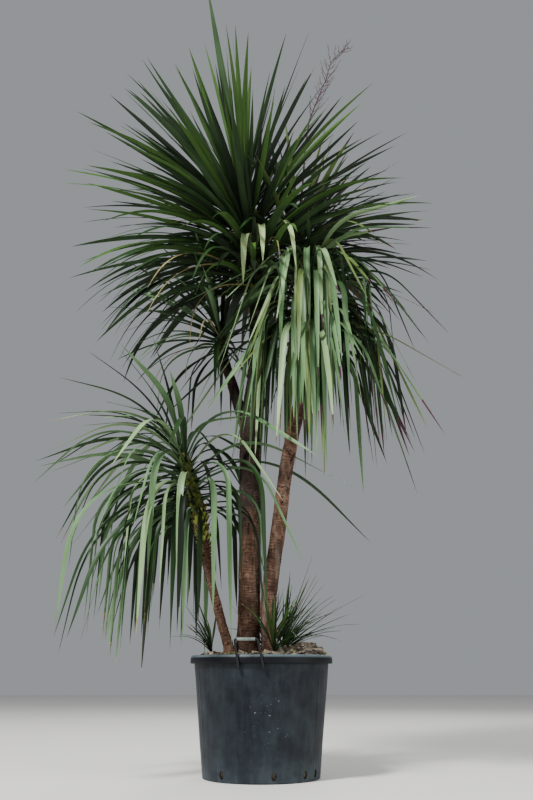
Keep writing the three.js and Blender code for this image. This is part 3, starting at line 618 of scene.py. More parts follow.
def leaf_material(name, colour, roughness, specular):
    """Living leaf: waxy skin over long parallel veins. The veins show as fine streaks along
    the blade, and the wax gives a soft sheen where the light is broadside."""
    material = new_material(name, roughness, specular, ior=1.45)
    tree = material.node_tree
    # A blade has veins 1 to 2 mm apart; they are drawn about 4 mm apart, to show from here
    veins = pattern(tree, 1.0, 2.0, stretch=(9, 2.2, 1), source="UV")
    stops = ((0.3, tinted(colour, 0.72)), (0.52, colour), (0.74, tinted(colour, 1.3)))
    streaked = add_node(tree, "ValToRGB", {"Fac": veins}, {"stops": stops})
    # Blades are lighter or darker over patches of some 140 mm
    patch = pattern(tree, 7.0, 2.0)
    stops = ((0.3, (0.78, 0.8, 0.74)), (0.7, (1.12, 1.1, 1.08)))
    toned = add_node(tree, "ValToRGB", {"Fac": patch}, {"stops": stops})
    # Painted shade darkens the clasping end; the blade clears it some 400 mm out of the head
    place = add_node(tree, "TexCoord", output="UV")
    walked = add_node(tree, "SeparateXYZ", {"Vector": place}, output="Y")
    out = add_node(tree, "MapRange", {"Value": walked, "From Min": 0.03, "From Max": 0.4})
    stops = ((0, (0.3, 0.32, 0.3)), (1, WHITE))
    clear = add_node(tree, "ValToRGB", {"Fac": out}, {"stops": stops})
    shown = add_node(tree, "Mix", {SHARE: 1.0, FIRST: streaked, SECOND: clear}, MULTIPLY, MIXED)
    shown = add_node(tree, "Mix", {SHARE: 1.0, FIRST: shown, SECOND: toned}, MULTIPLY, MIXED)
    return dress(material, shown, veins, 0.0005, 0.5)


def dry_leaf_material(name, colour):
    """Dry leaf: dull papery skin, curled and blotched every 15 mm or so."""
    stops = ((0.3, tinted(colour, 0.6)), (0.7, tinted(colour, 1.25)))
    return blotched_material(name, (0.8, 0.25), (60.0, 3.0), stops, (0.0006, 0.5))


def crumbly_material(name, dark, pale):
    """Dry plant matter: peat, bark chips, moss or the fibre of old leaf bases. It is matt and
    crumbly, with pale crumbs of about 10 mm."""
    stops = ((0.35, dark), (0.7, pale))
    return blotched_material(name, (0.95, 0.15), (90.0, 5.0, 0.65), stops, (0.003, 0.8))


def wire_material(colour):
    """Painted steel wire: black enamel with a low shine, rubbed thin every 8 mm or so."""
    stops = ((0.4, colour), (0.75, tinted(colour, 1.8)))
    return blotched_material(
        "black_enamelled_wire", (0.5, 0.3), (120.0, 3.0), stops, (0.0002, 0.4)
    )


def grip_material(colour):
    """Hard polyethylene sleeve: pale grey, chalky with age, with grime in the pores."""
    stops = ((0.35, tinted(colour, 0.7)), (0.65, colour))
    return blotched_material(
        "chalky_grip_sleeve", (0.65, 0.35), (90.0, 4.0), stops, (0.0003, 0.4)
    )


def stalk_material(colour):
    """Dead flower stalk: dry papery rind, blotched every centimetre or so."""
    stops = ((0.35, tinted(colour, 0.6)), (0.7, tinted(colour, 1.4)))
    return blotched_material("dead_flower_stalk", (0.85, 0.2), (90.0, 3.0), stops, (0.0008, 0.6))


def bark_material(sizes):
    """Corky bark: a dull brown rind with rings of leaf scars, dark in the cracks, partly as painted
    shade there, and paler where it has weathered; higher up each limb, under the heads, it is
    darker as painted shade. The mesh marks how deep the cracks are and, as young, where that
    painted shade lies."""
    material = new_material("corky_bark", 0.92, 0.2)
    tree = material.node_tree
    depth, young = (
        add_node(tree, "Attribute", settings={"attribute_name": name}, output="Fac")
        for name in ("depth", "young")
    )
    # The rind is dark in the cracks, both as the darker inner rind and as painted shade in the recesses
    levels = zip((0.2, 0.46, 0.8), (sizes.crack_shade_colour, sizes.bark_colour, sizes.weathered_colour))
    base = add_node(tree, "ValToRGB", {"Fac": depth}, {"stops": tuple(levels)})
    # Patches of greyer, weathered rind 60 to 120 mm across
    patch = pattern(tree, 11.0, 3.0, stretch=(1, 1, 0.5))
    stops = ((0.36, (0.5, 0.47, 0.47)), (0.64, (1.1, 1.04, 0.98)))
    weathered = add_node(tree, "ValToRGB", {"Fac": patch}, {"stops": stops})
    # Pale streaks run up the rind, 40 mm apart, where old leaf bases have peeled off
    peel = pattern(tree, 26.0, 3.0, stretch=(1, 1, 0.1))
    stops = ((0.56, BLACK), (0.7, (0.4,) * 3))
    peeled = add_node(tree, "ValToRGB", {"Fac": peel}, {"stops": stops})
    # Grain of about 5 mm, drawn out up the stem
    grain = pattern(tree, 190.0, 4.0, stretch=(1, 1, 0.3))
    stops = ((0.3, (0.6,) * 3), (0.7, WHITE))
    grained = add_node(tree, "ValToRGB", {"Fac": grain}, {"stops": stops})
    colour = base
    # Weathered patches, peeled streaks, painted shade high on the limbs (the young field), and grain
    for share, second, kind in (
        (1.0, weathered, MULTIPLY),
        (peeled, tuple(sizes.peel_colour), BLEND),
        (young, RIND_PAINTED_SHADE, MULTIPLY),
        (0.8, grained, MULTIPLY),
    ):
        inputs = {SHARE: share, FIRST: colour, SECOND: second}
        colour = add_node(tree, "Mix", inputs, kind, MIXED)
    return dress(material, colour, grain, 0.0012, 0.7)


def pot_material(sizes):
    """Moulded polyethylene, long outdoors: near black and slightly blue, with a soft low
    shine, a film of dust on the lip's shoulder, which is paler also as a painted highlight, and
    at the foot, painted shade on the lip's skirt, and a few specks of lime."""
    material = new_material("weathered_polyethylene", 0.5, 0.2)
    tree = material.node_tree
    place = add_node(tree, "TexCoord", output="Object")
    height = add_node(tree, "SeparateXYZ", {"Vector": place}, output="Z")
    off = add_node(tree, "VectorMath", {0: place, 1: SPLASH}, {"operation": "DISTANCE"}, "Value")
    plastic = tuple(sizes.plastic_colour)
    made = {
        "plastic": plastic,
        # A darker copy of the plastic: painted shade on the lip
        "shaded": tinted(plastic, 0.45),
        "dust": tuple(sizes.dust_colour),
        "lime": linear("a9aea9"),
    }
    # Dust lies on the shoulder of the lip, which is paler also as a painted highlight, and
    # splashes reach some 90 mm up the foot; the lip from its skirt up has no film of streaks and
    # is painted shade, a darker copy of the plastic. Lime is splashed over a patch of the front
    # about 150 mm across. Each zone has its range in metres and its two strengths.
    for name, value, low, high, least, most in (
        ("shoulder", height, 0.434, 0.439, 0.0, 0.7),
        ("skirt", height, 0.408, 0.416, 1.0, 0.0),
        ("foot", height, 0.1, 0.0, 0.0, 0.22),
        ("near", off, 0.11, 0.05, 0.04, 1.0),
    ):
        share = add_node(tree, "MapRange", {"Value": value, "From Min": low, "From Max": high})
        stops = ((0, (least,) * 3), (1, (most,) * 3))
        made[name] = add_node(tree, "ValToRGB", {"Fac": share}, {"stops": stops})
    # Rain has drawn the dust into faint upright streaks about 25 mm wide and smudges
    # of 100 mm; the lime specks are 3 to 6 mm
    streak = pattern(tree, 40.0, 5.0, 0.6, stretch=(1, 1, 0.14))
    smudge = pattern(tree, 10.0, 5.0, 0.65)
    fleck = pattern(tree, 105.0, 2.0)
    for name, value, low, high, least, most in (
        ("streaks", streak, 0.4, 0.75, 0.0, 0.09),
        ("smudges", smudge, 0.42, 0.75, 0.0, 0.14),
        ("uneven", smudge, 0.3, 0.6, 0.3, 1.2),
        ("specks", fleck, 0.68, 0.73, 0.0, 0.5),
    ):
        stops = ((low, (least,) * 3), (high, (most,) * 3))
        made[name] = add_node(tree, "ValToRGB", {"Fac": value}, {"stops": stops})
    for name, kind, *parts in (
        ("film", ADD, 1.0, "streaks", "smudges"),
        ("film", MULTIPLY, 1.0, "film", "skirt"),
        ("ends", MULTIPLY, 1.0, "foot", "uneven"),
        ("ends", ADD, 1.0, "shoulder", "ends"),
        ("film", ADD, 1.0, "film", "ends"),
        ("clean", BLEND, "skirt", "shaded", "plastic"),
        ("dusty", BLEND, "film", "clean", "dust"),
        ("splash", MULTIPLY, 1.0, "specks", "near"),
        ("colour", BLEND, "splash", "dusty", "lime"),
    ):
        inputs = zip((SHARE, FIRST, SECOND), (made.get(part, part) for part in parts))
        made[name] = add_node(tree, "Mix", dict(inputs), kind, MIXED)
    # Moulded grain of about 1.5 mm
    return dress(material, made["colour"], pattern(tree, 700.0, 3.0), 0.0002, 0.4)


# Limbs


def limb_path(stations):
    """Places on the smooth curve through the stations, by share of the whole row of them."""
    points = np.array([s[:3] for s in stations], float)
    ends = [2 * points[0] - points[1], *points, 2 * points[-1] - points[-2]]

    def place(t):
        whole = min(int(t * (len(points) - 1)), len(points) - 2)
        part = t * (len(points) - 1) - whole
        p0, p1, p2, p3 = ends[whole : whole + 4]
        gaps = ((p0, p1), (p1, p2), (p2, p3))
        d0, d1, d2 = (max(np.linalg.norm(b - a), 1e-6) ** 0.5 for a, b in gaps)
        t1 = ((p1 - p0) / d0 - (p2 - p0) / (d0 + d1) + (p2 - p1) / d1) * d1
        t2 = ((p2 - p1) / d1 - (p3 - p1) / (d1 + d2) + (p3 - p2) / d2) * d1
        c2 = -3 * p1 + 3 * p2 - 2 * t1 - t2
        c3 = 2 * p1 - 2 * p2 + t1 + t2
        return p1 + part * t1 + part**2 * c2 + part**3 * c3

    return place


def limb_rings(stations, step):
    """Centre, radius and length walked at rings a step apart along a limb."""
    place = limb_path(stations)
    centres = []
    radii = []
    for k in range(len(stations) - 1):
        reach = math.dist(stations[k][:3], stations[k + 1][:3])
        count = max(1, round(reach / step))
        for n in range(count + (k == len(stations) - 2)):
            part = n / count
            centres.append(place((k + part) / (len(stations) - 1)))
            radii.append(mix(stations[k][3], stations[k + 1][3], part))
    centres = np.array(centres)
    walked = np.concatenate([[0], np.cumsum(np.linalg.norm(np.diff(centres, axis=0), axis=1))])
    return centres, np.array(radii), walked


def bark_relief(points, walked, seed, sizes):
    """How far the bark stands out at each point in millimetres, and its depth from 0 to 1.
    Leaf scars ring the stem; corky plates and upright cracks break them."""
    spacing = sizes.scar_spacing / MM
    wander = lumps(points / 60, seed) * 3.2 + lumps(points / 20, seed + 5) * 1.1
    phase = walked / spacing + wander
    scar = 1 - (phase - np.floor(phase))
    scar = np.where(scar > 0.75, (1 - scar) * 4, scar / 0.75)
    faint = lumps(points / 30, seed + 6)
    swell = lumps(points * np.array([1 / 34, 1 / 34, 1 / 70]), seed + 4)
    plates = lumps(points * np.array([1 / 9, 1 / 9, 1 / 26]), seed + 1)
    cracks = 1 - np.abs(lumps(points * np.array([1 / 15, 1 / 15, 1 / 110]), seed + 2) * 2 - 1)
    crack = smooth(0.955, 0.995, cracks) * smooth(0.35, 0.6, faint)
    fine = lumps(points / 4.5, seed + 3)
    depth = 0.36 * scar * mix(0.3, 1, faint) + 0.28 * plates + 0.2 * fine + 0.24 * swell - 0.4 * crack
    return (depth - 0.4 + 0.25 * (swell - 0.5)) * sizes.relief_depth / MM, np.clip(depth, 0, 1)


def limb_mesh(stations, seed, sizes, sides, step, collar=0.0):
    """Points, faces and bark depth of a limb; collar swells its foot where it leaves a stem."""
    centres, radii, walked = limb_rings(stations, step)
    radii = radii * (1 + collar * np.exp(-((walked / COLLAR_REACH) ** 2)))
    bare, faces = sweep(centres, radii, sides, first=(1, 0, 0))
    axis = np.repeat(centres, sides, axis=0)
    out = bare - axis
    out = out / np.linalg.norm(out, axis=1)[:, None]
    height, depth = bark_relief(bare, np.repeat(walked, sides), seed, sizes)
    return bare + out * height[:, None], faces, depth


def stub_mesh(foot, end, radius, seed, sizes):
    """A short dead stub with a rough broken end."""
    foot, end = np.array(foot, float), np.array(end, float)
    shares = np.linspace(0, 1, 5)
    stations = [(*mix(foot, end, t), radius * mix(1.15, 0.8, t)) for t in shares]
    return limb_mesh(stations, seed, sizes, 16, 5)


def with_head(stations, head):
    """Stations of a limb carried on up through its head of leaves."""
    foot = np.array(head["foot"], float)
    end = mix(foot, np.array(head["tip"], float), STEM_SHARE)
    onward = []
    for part in (0, 0.5, 1):
        radius = sheath_radius(head, part * STEM_SHARE) * STEM_IN_SHEATH
        onward.append((*mix(foot, end, part), radius))
    return [*stations, *onward]


def head_named(name):
    return next(head for head in HEADS if head["name"] == name)


def limb_stations():
    """Every limb as the solids have it, by the name of its node."""
    return {
        "trunk": with_head(TRUNK, head_named("crown")),
        "right_stem": with_head(RIGHT_STEM, head_named("weeping_head")),
        "left_stem": with_head(LEFT_STEM, head_named("left_head")),
        "left_fork_bough": with_head(LEFT_FORK, head_named("left_fork_head")),
        "right_fork_bough": with_head(RIGHT_FORK, head_named("right_fork_head")),
    }


def keep_out():
    """Bars that leaves keep clear of: start, end and radius at each, for all the limbs."""
    bars = []
    for stations in (TRUNK, RIGHT_STEM, LEFT_STEM, LEFT_FORK, RIGHT_FORK):
        for a, b in zip(stations, stations[1:]):
            bars.append((a[:3], b[:3], max(a[3], b[3])))
    starts, ends, radii = zip(*bars)
    return np.array(starts, float), np.array(ends, float), np.array(radii, float)


def fitted_course(leaf, steps):
    """The course of a leaf, shortened little by little until it is inside the solids' box."""
    low, high = (np.array(corner) / MM for corner in CAD_BOX)
    while True:
        course = leaf_course(leaf, steps)
        margin = course["half"][:, None] * np.abs(course["edge"]) + BOX_MARGIN
        place = course["place"]
        if np.all(place - margin > low) and np.all(place + margin < high):
            return course
        leaf["length"] *= SHORTENED


def is_clear(course, bars):
    """Whether a leaf keeps off the limbs, the pot and the mulch past its root."""
    points = course["place"][course["s"] > FREE_ROOT]
    starts, ends, radii = bars
    reach = ends - starts
    off = points[:, None, :] - starts
    t = np.clip((off * reach).sum(-1) / (reach * reach).sum(-1), 0, 1)
    gap = np.linalg.norm(off - t[..., None] * reach, axis=-1) - radii
    if gap.min() < LEAF_CLEARANCE:
        return False
    around = np.hypot(points[:, 0], points[:, 1])
    return not np.any((around < POT_REACH) & (points[:, 2] < SOIL_SEAT + OVER_MULCH))


# Leaves


def sheath_radius(head, t):
    return head["sheath"] * (1 - SHEATH_TAPER * t * t)


def head_axes(head):
    """Foot, reach and direction of a head's stem, and two axes across it."""
    foot = np.array(head["foot"], float)
    reach = np.array(head["tip"], float) - foot
    along = unit(reach)
    u = unit(np.cross((0, 1, 0), along))
    return foot, reach, along, u, np.cross(along, u)


def root_place(head, share, turns):
    """Whether a leaf is one of the stem's tip, the middle of its wedge of the head, and where
    it starts."""
    foot, reach, _, u, v = head_axes(head)
    top = share > STEM_SHARE
    slices = 2 * math.pi / head["masses"]
    middle = turns if top else (math.floor(turns / slices) + 0.5) * slices
    room = slices / 2 - ROOT_MARGIN * DEG
    at = middle + min(max(turns - middle, -room), room)
    radius = sheath_radius(head, share) * (TIP_ROOT if top else SIDE_ROOT)
    return top, middle, foot + reach * share + (u * math.cos(at) + v * math.sin(at)) * radius


def leaf_sizes(head, key, t, number, nudge):
    """Sizes of one leaf by the seeded rule: key picks its chances, t its place up the stem
    and number its turn round it."""
    _, _, along, u, v = head_axes(head)
    roll = [chance(key, k) for k in range(9)]
    even = number * GOLDEN_ANGLE + mix(*SCATTER["turn"], roll[0]) * DEG
    around = even + head["favour"][1] * math.sin(head["favour"][0] * DEG - even)
    turns = around % (2 * math.pi)
    top, middle, start = root_place(head, t, turns)
    spin = middle + (turns - middle) * WEDGE_SPREAD + nudge * DEG
    # Leaves keep closer to the rule near the tip of the stem
    stray = min(1, 2.6 - 2 * t)
    off = (between(head["spread"], t) + mix(*SCATTER["lean"], roll[1]) * stray) * DEG
    launch = along * math.cos(off) + (u * math.cos(spin) + v * math.sin(spin)) * math.sin(off)
    rise = math.asin(launch[2])
    face = math.atan2(launch[1], launch[0])
    opened = max(0.0, math.cos(face - head["open"][0] * DEG)) * head["open"][1]
    fall = between(head["droop"], t) * DEG * mix(*SCATTER["fall"], roll[3])
    fall = fall * mix(1, OPEN_FALL, opened)
    inward = mix(-1, 1, roll[5]) if top else math.copysign(roll[5], middle - turns)
    return {
        "start": start,
        "rise": rise,
        "face": face,
        "length": between(head["length"], t) * mix(1 - head["ragged"], 1, roll[2]),
        "bend": fall * mix(1, math.cos(rise), head["stiff"]),
        "from": head["fall"][0] + mix(*SCATTER["from"], roll[4]),
        "to": mix(head["fall"][1], 1, opened),
        "sway": SWAY * DEG * inward,
        "roll": mix(*SCATTER["roll"], roll[6]) * DEG,
        "twist": mix(*SCATTER["twist"], roll[7]) * DEG,
        "width": head["width"] * head["slim"] * mix(*SCATTER["width"], roll[8]),
    }


def lone_sizes(head, lone, nudge):
    """Sizes of one of the leaves that stand apart from the rule."""
    share, compass, rise, length, fall, sway, width, _ = lone
    _, _, along, u, v = head_axes(head)
    out = heading(compass * DEG)
    out = out - along * (out @ along)
    turns = math.atan2(out @ v, out @ u) % (2 * math.pi)
    return {
        **PLAIN_LEAF,
        "start": root_place(head, share, turns)[2],
        "rise": rise * DEG,
        "face": (compass + nudge) * DEG,
        "length": length,
        "bend": fall * DEG,
        "to": 0.8,
        "sway": sway * DEG,
        "width": width,
    }


def finer_sizes(head, key, t, number, dry, nudge):
    """Sizes of one of the finer leaves between those of the solids."""
    leaf = leaf_sizes(head, key, t, number, nudge)
    leaf["length"] *= mix(*FINER_LENGTH, chance(key, 24))
    leaf["width"] *= mix(*FINER_WIDTH, chance(key, 25)) * (DRY_WIDTH if dry else 1)
    leaf["bend"] *= DRY_FALL if dry else 1
    return leaf


def blade_outline(s):
    """Half width along a blade: clasping base, narrow neck, full blade, long point."""
    blade = np.where(
        s < WIDEST, mix(NECK, 1, smooth(0, WIDEST, s)), 1 - ((s - WIDEST) / (1 - WIDEST)) ** 2
    )
    return blade + CLASP_WIDTH * np.clip(1 - s / CLASP_REACH, 0, 1) ** 2


def leaf_course(sizes, steps):
    """The course of one leaf: places, edge and upward directions, and half width."""
    s = np.linspace(0, 1, steps + 1)
    angle = sizes["rise"] - sizes["bend"] * smooth(sizes["from"], sizes["to"], s)
    angle = np.maximum(angle, -STEEPEST * DEG)
    turn = sizes["face"] + sizes["sway"] * s
    zero = np.zeros_like(s)
    flat = np.stack([np.cos(turn), np.sin(turn), zero], 1)
    side = np.stack([-np.sin(turn), np.cos(turn), zero], 1)
    along = flat * np.cos(angle)[:, None] + np.array([0, 0, 1]) * np.sin(angle)[:, None]
    back = -np.cross(side, along)
    spun = (sizes["roll"] + sizes["twist"] * s * s)[:, None]
    walked = np.cumsum(along[:-1] * sizes["length"] / steps, axis=0)
    return {
        "s": s,
        "place": sizes["start"] + np.concatenate([np.zeros((1, 3)), walked]),
        "edge": side * np.cos(spun) + back * np.sin(spun),
        "up": back * np.cos(spun) - side * np.sin(spun),
        "half": sizes["width"] / 2 * blade_outline(s),
        "length": sizes["length"],
    }


# Places across a blade, from edge to edge over the top and back beneath, and how much of
# the blade's thickness each lies under the top
ACROSS = np.array([-1, -0.5, 0, 0.5, 1, 0.5, 0, -0.5])
BENEATH = np.array([0, 0, 0, 0, 0, 0.75, 1.25, 0.75])
ROUND = len(ACROSS)
TOP_FACES = 4


def blade_points(course, fold):
    """Rings of points round a thin blade that is folded along its midrib, and its point."""
    s = course["s"][:-1, None]
    half = course["half"][:-1, None]
    thick = mix(*THICKNESS, smooth(0, 0.3, s)) * mix(1, POINT_THINNED, s)
    channel = fold * mix(1, 0.3, smooth(0.1, 0.8, s))
    height = (np.abs(ACROSS) ** 1.4 - 0.45) * half * channel - BENEATH * thick
    points = (
        course["place"][:-1, None, :]
        + course["edge"][:-1, None, :] * (ACROSS * half)[..., None]
        + course["up"][:-1, None, :] * height[..., None]
    )
    return np.concatenate([points.reshape(-1, 3), course["place"][-1:]])


def blade_faces(steps):
    """Faces of one blade of so many steps, and for each its step and whether it is on top."""
    faces = [tuple(range(ROUND))[::-1]]
    step_of = [0]
    top = [False]
    for r in range(steps):
        for k in range(ROUND):
            a = r * ROUND + k
            b = r * ROUND + (k + 1) % ROUND
            last = r == steps - 1
            faces.append((a, b, steps * ROUND) if last else (a, b, b + ROUND, a + ROUND))
            step_of.append(r)
            top.append(k < TOP_FACES)
    return faces, np.array(step_of), np.array(top)


class Spray:
    """Blades gathered into one mesh, with a colour for each blade and its tip. clear is how
    far out of the painted shade by the clasping end the blades start, in metres."""

    def __init__(self, palette, tones, clear=0.0):
        self.palette = palette
        self.tones = list(tones)
        self.clear = clear
        self.points = []
        self.faces = []
        self.face_tones = []
        self.uv = []
        self.margin = []
        self.count = 0
        self.patterns = {}

    def index(self, tone):
        if tone not in self.tones:
            self.tones.append(tone)
        return self.tones.index(tone)

    def add(self, course, fold, tone, tip=None):
        """Adds a blade; tip is the share of it that is dry, with the tone of that."""
        steps = len(course["s"]) - 1
        if steps not in self.patterns:
            self.patterns[steps] = blade_faces(steps)
        faces, step_of, top = self.patterns[steps]
        points = blade_points(course, fold)
        self.faces += [[k + self.count for k in face] for face in faces]
        tones = np.where(top, self.index(tone), self.index(f"under_{tone}"))
        if tip:
            share, dry = tip
            tones = np.where((step_of + 0.5) / steps > 1 - share, self.index(dry), tones)
        self.face_tones.append(tones)
        self.points.append(points)
        walked = np.repeat(course["s"][:-1], ROUND)
        v = np.append(walked, 1) * course["length"] * MM + self.clear
        u = np.append(np.tile(ACROSS * 0.5 + 0.5, steps), 0.5)
        self.uv.append(np.stack([u, v], 1))
        self.margin.append(np.append(np.tile(np.abs(ACROSS) == 1, steps), True))
        self.count += len(points)

    def finish(self, name):
        """Makes the piece."""
        materials = [self.palette[tone] for tone in self.tones]
        fields = (self.face_tones, self.uv, self.margin)
        return make_piece(
            name,
            np.concatenate(self.points),
            self.faces,
            materials,
            *(np.concatenate(field) for field in fields),
        )


def leaf_palette(sizes, made=None):
    """Materials of leaves by the name of their tone, with those of the undersides. Materials
    that are among the made ones are used again."""
    made = made or {}
    palette = {}
    for tone in LIVING:
        colour = tuple(getattr(sizes, f"{tone}_colour"))
        name = f"waxy_leaf_{tone}"
        palette[tone] = made.get(name) or leaf_material(name, colour, *BLADE_GLOSS)
        bloom = tuple(mix(c, b, 0.08) for c, b in zip(colour, linear("8c9c86")))
        name = f"leaf_underside_{tone}"
        palette[f"under_{tone}"] = made.get(name) or leaf_material(name, bloom, *UNDER_GLOSS)
    for tone in DRY:
        colour = tuple(getattr(sizes, f"{tone}_colour"))
        name = f"dry_leaf_{tone}"
        palette[tone] = palette[f"under_{tone}"] = made.get(name) or dry_leaf_material(name, colour)
    return palette


def leaf_tone(head, course, key, darker):
    """A tone from the head's row of them, as painted light and shade: lighter where the leaf
    hangs to the lit side, and lower by darker.
    """
    foot, reach, *_ = head_axes(head)
    out = course["place"][len(course["s"]) // 2] - (foot + reach * 0.5)
    out = out / max(np.linalg.norm(out), 1e-6)
    stray = mix(-TONE_STRAY, TONE_STRAY, chance(key, 20))
    level = 0.5 + PAINTED_LIGHT * float(out @ LIT_SIDE) + stray - darker
    tones = head["tones"]
    return tones[int(min(max(level, 0), 0.999) * len(tones))]


def room_before(course):
    """Bars that keep the space before a hanging leaf free of the leaves that come after it."""
    hangs = course["place"][course["s"] > HANGS_FROM]
    out = unit((hangs[-1] - course["place"][0]) * (1, 1, 0))
    starts = np.concatenate([hangs[:-1] + out * ahead for ahead in ROOM_AHEAD])
    ends = np.concatenate([hangs[1:] + out * ahead for ahead in ROOM_AHEAD])
    return starts, ends, np.full(len(starts), ROOM_RADIUS)


def grow_head(head, sizes, palette, bars):
    """All the leaves of one head: those of the solids, then finer ones between them."""
    spray = Spray(palette, head["tones"])
    steps = head["bends"] * sizes.steps_per_bend

    def place(make, key, tries, tone=None, darker=0.0):
        """Adds the leaf at the first try that is clear, and gives back its course if any is."""
        for nudge, fall in tries:
            leaf = make(nudge)
            leaf["bend"] *= fall
            course = fitted_course(leaf, steps)
            if is_clear(course, bars):
                break
        else:
            return None
        odds, most, dry = head["tips"]
        tip = None
        if tone is None and chance(key, 21) < odds:
            side = max(0.0, math.cos(leaf["face"] - head["open"][0] * DEG))
            tip = (most * mix(0.3, 1, chance(key, 22)) * mix(0.2, 1, side), dry)
        fold = sizes.fold * mix(0.5, 1.3, chance(key, 23))
        spray.add(course, fold, tone or leaf_tone(head, course, key, darker), tip)
        return course

    hanging = []
    for n, lone in enumerate(LONE_LEAVES.get(head["name"], ())):
        course = place(partial(lone_sizes, head, lone), LONE_KEYS + n, NUDGES, lone[-1])
        if course and lone[-1] == "silver":
            hanging.append(course)
    for course in hanging:
        bars = [np.concatenate(pair) for pair in zip(bars, room_before(course))]
    first = head["seed"] * HEAD_KEYS
    for i in range(head["leaves"]):
        key = first + i
        t = (i + 0.5) / head["leaves"]
        place(partial(leaf_sizes, head, key, t, i), key, NUDGES)
    infill = round(head["infill"] * sizes.infill)
    for i in range(infill):
        key = first + FINER_KEYS + i
        t = (i + 0.5) / infill
        dry = t < DRY_BELOW and chance(key, 26) < head["dry"]
        make = partial(finer_sizes, head, key, t, i + 0.5, dry)
        place(make, key, NUDGES[:3], "straw" if dry else None, FINER_PAINTED_SHADE)
    return spray


def sheath_mesh(head):
    """The stack of clasping leaf bases round a head's stem, as overlapping rough rings."""
    foot, reach, _, u, v = head_axes(head)
    sides, rows = 28, 46
    angle = np.linspace(0, 2 * math.pi, sides, endpoint=False)
    rings = []
    for r in range(rows + 1):
        t = r / rows
        radius = sheath_radius(head, min(t, 1)) * mix(0.94, 0.55, smooth(0.8, 1, t))
        if r == rows:
            radius *= 0.3
        # Each row of bases stands out a tenth, higher and lower in turn round the stem
        steps = (r * 0.37 + np.sin(angle * 3 + r * 1.9) * 0.35) % 1
        size = radius * (0.9 + 0.1 * steps)
        across, over = (np.cos(angle) * size)[:, None], (np.sin(angle) * size)[:, None]
        rings.append(foot + reach * t + across * u + over * v)
    return np.concatenate(rings), skin_faces(rows + 1, sides)


def scale_spray(palette):
    """Short pointed leaf bases that still clasp the left stem under its head: yellow green
    above, brown and frayed below."""
    spray = Spray(palette, ("lime", "husk"), clear=0.4)
    low, high, count = SCALES
    centres, radii, _ = limb_rings(limb_stations()["left_stem"], 6)
    for n in range(count):
        r = [chance(SCALE_KEYS + n, k) for k in range(7)]
        t = (n + 0.5) / count
        k = int(np.searchsorted(centres[:, 2], mix(low, high, t)))
        face = n * GOLDEN_ANGLE
        out = heading(face)
        leaf = {
            **PLAIN_LEAF,
            "start": centres[k] + out * radii[k] * 0.8,
            "rise": mix(38, 66, t) * DEG,
            "face": face,
            "length": mix(20, 62, t) * mix(0.7, 1.2, r[1]),
            "bend": mix(30, -12, t) * mix(0.4, 1.2, r[2]) * DEG,
            "sway": mix(-20, 20, r[3]) * DEG,
            "twist": mix(-30, 30, r[4]) * DEG,
            "width": mix(13, 20, r[5]),
        }
        tone = "lime" if t + mix(-0.15, 0.15, r[6]) > 0.42 else "husk"
        spray.add(leaf_course(leaf, 6), 0.3, tone, (0.3, "husk") if tone == "lime" else None)
    return spray


# Properties


def colour_property(name, description, hex_colour):
    return FloatVectorProperty(
        name=name, description=description, subtype="COLOR", size=3, min=0, max=1,
        default=linear(hex_colour),
    )


def length_property(name, description, default):
    return FloatProperty(name=name, description=description, unit="LENGTH", min=0, default=default)


def power_property(name, watts):
    return FloatProperty(name=name, description="Power in watts", unit="POWER", min=0, default=watts)


class PotSizes(PropertyGroup):
    """Sizes and colours of the pot."""

    height: length_property("Height", "Height of the pot over all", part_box("pot")[1].z)
    rim_radius: length_property("Rim radius", "Radius of the lip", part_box("pot")[1].x)
    top_radius: length_property("Top radius", "Radius of the wall under the lip", 0.2645)
    base_radius: length_property("Base radius", "Radius of the wall at the ground", 0.2255)
    lip_drop: length_property("Lip drop", "Height of the lip's skirt", 0.030)
    plastic_colour: colour_property("Plastic", "Colour of the clean plastic", "0d121b")
    dust_colour: colour_property("Dust", "Colour of the film of dust", "5c6a70")


class MulchSizes(PropertyGroup):
    """Sizes and colours of the mulch."""

    chips: IntProperty(name="Chips", description="Bark chips on the mulch", default=620, min=0)
    chip_length: length_property("Chip length", "Length of the largest chips", 0.042)
    dark_colour: colour_property("Peat", "Colour of the damp peat", "2e2925")
    pale_colour: colour_property("Crumbs", "Colour of the dry crumbs", "716a5f")
    chip_colour: colour_property("Chips", "Colour of the bark chips", "857b6c")
    moss_colour: colour_property("Moss", "Colour of the dry moss", "9a9257")


class HandleSizes(PropertyGroup):
    """Sizes and colours of the handles."""

    wire_radius: length_property("Wire radius", "Radius of the wire", 0.0045)
    grip_radius: length_property("Grip radius", "Radius of the grip", 0.0056)
    wire_colour: colour_property("Wire", "Colour of the wire", "0e0f12")
    grip_colour: colour_property("Grip", "Colour of the grip", "7e8984")


class StemSizes(PropertyGroup):
    """Relief and colours of the bark."""

    scar_spacing: length_property("Scar spacing", "Distance between rings of leaf scars", 0.0105)
    relief_depth: length_property("Relief", "Depth of the bark's relief", 0.007)
    # Partly painted shade in the recesses
    crack_shade_colour: colour_property("Cracks", "Colour in the cracks", "1e1613")
    bark_colour: colour_property("Bark", "Colour of the rind", "5f473a")
    weathered_colour: colour_property("Weathered", "Colour of the weathered ridges", "9a7c6b")
    peel_colour: colour_property("Peeled", "Colour of the streaks where bases peeled", "8a7d70")
    stalk_colour: colour_property("Dead stalk", "Colour of the dead flower stalk", "49333a")


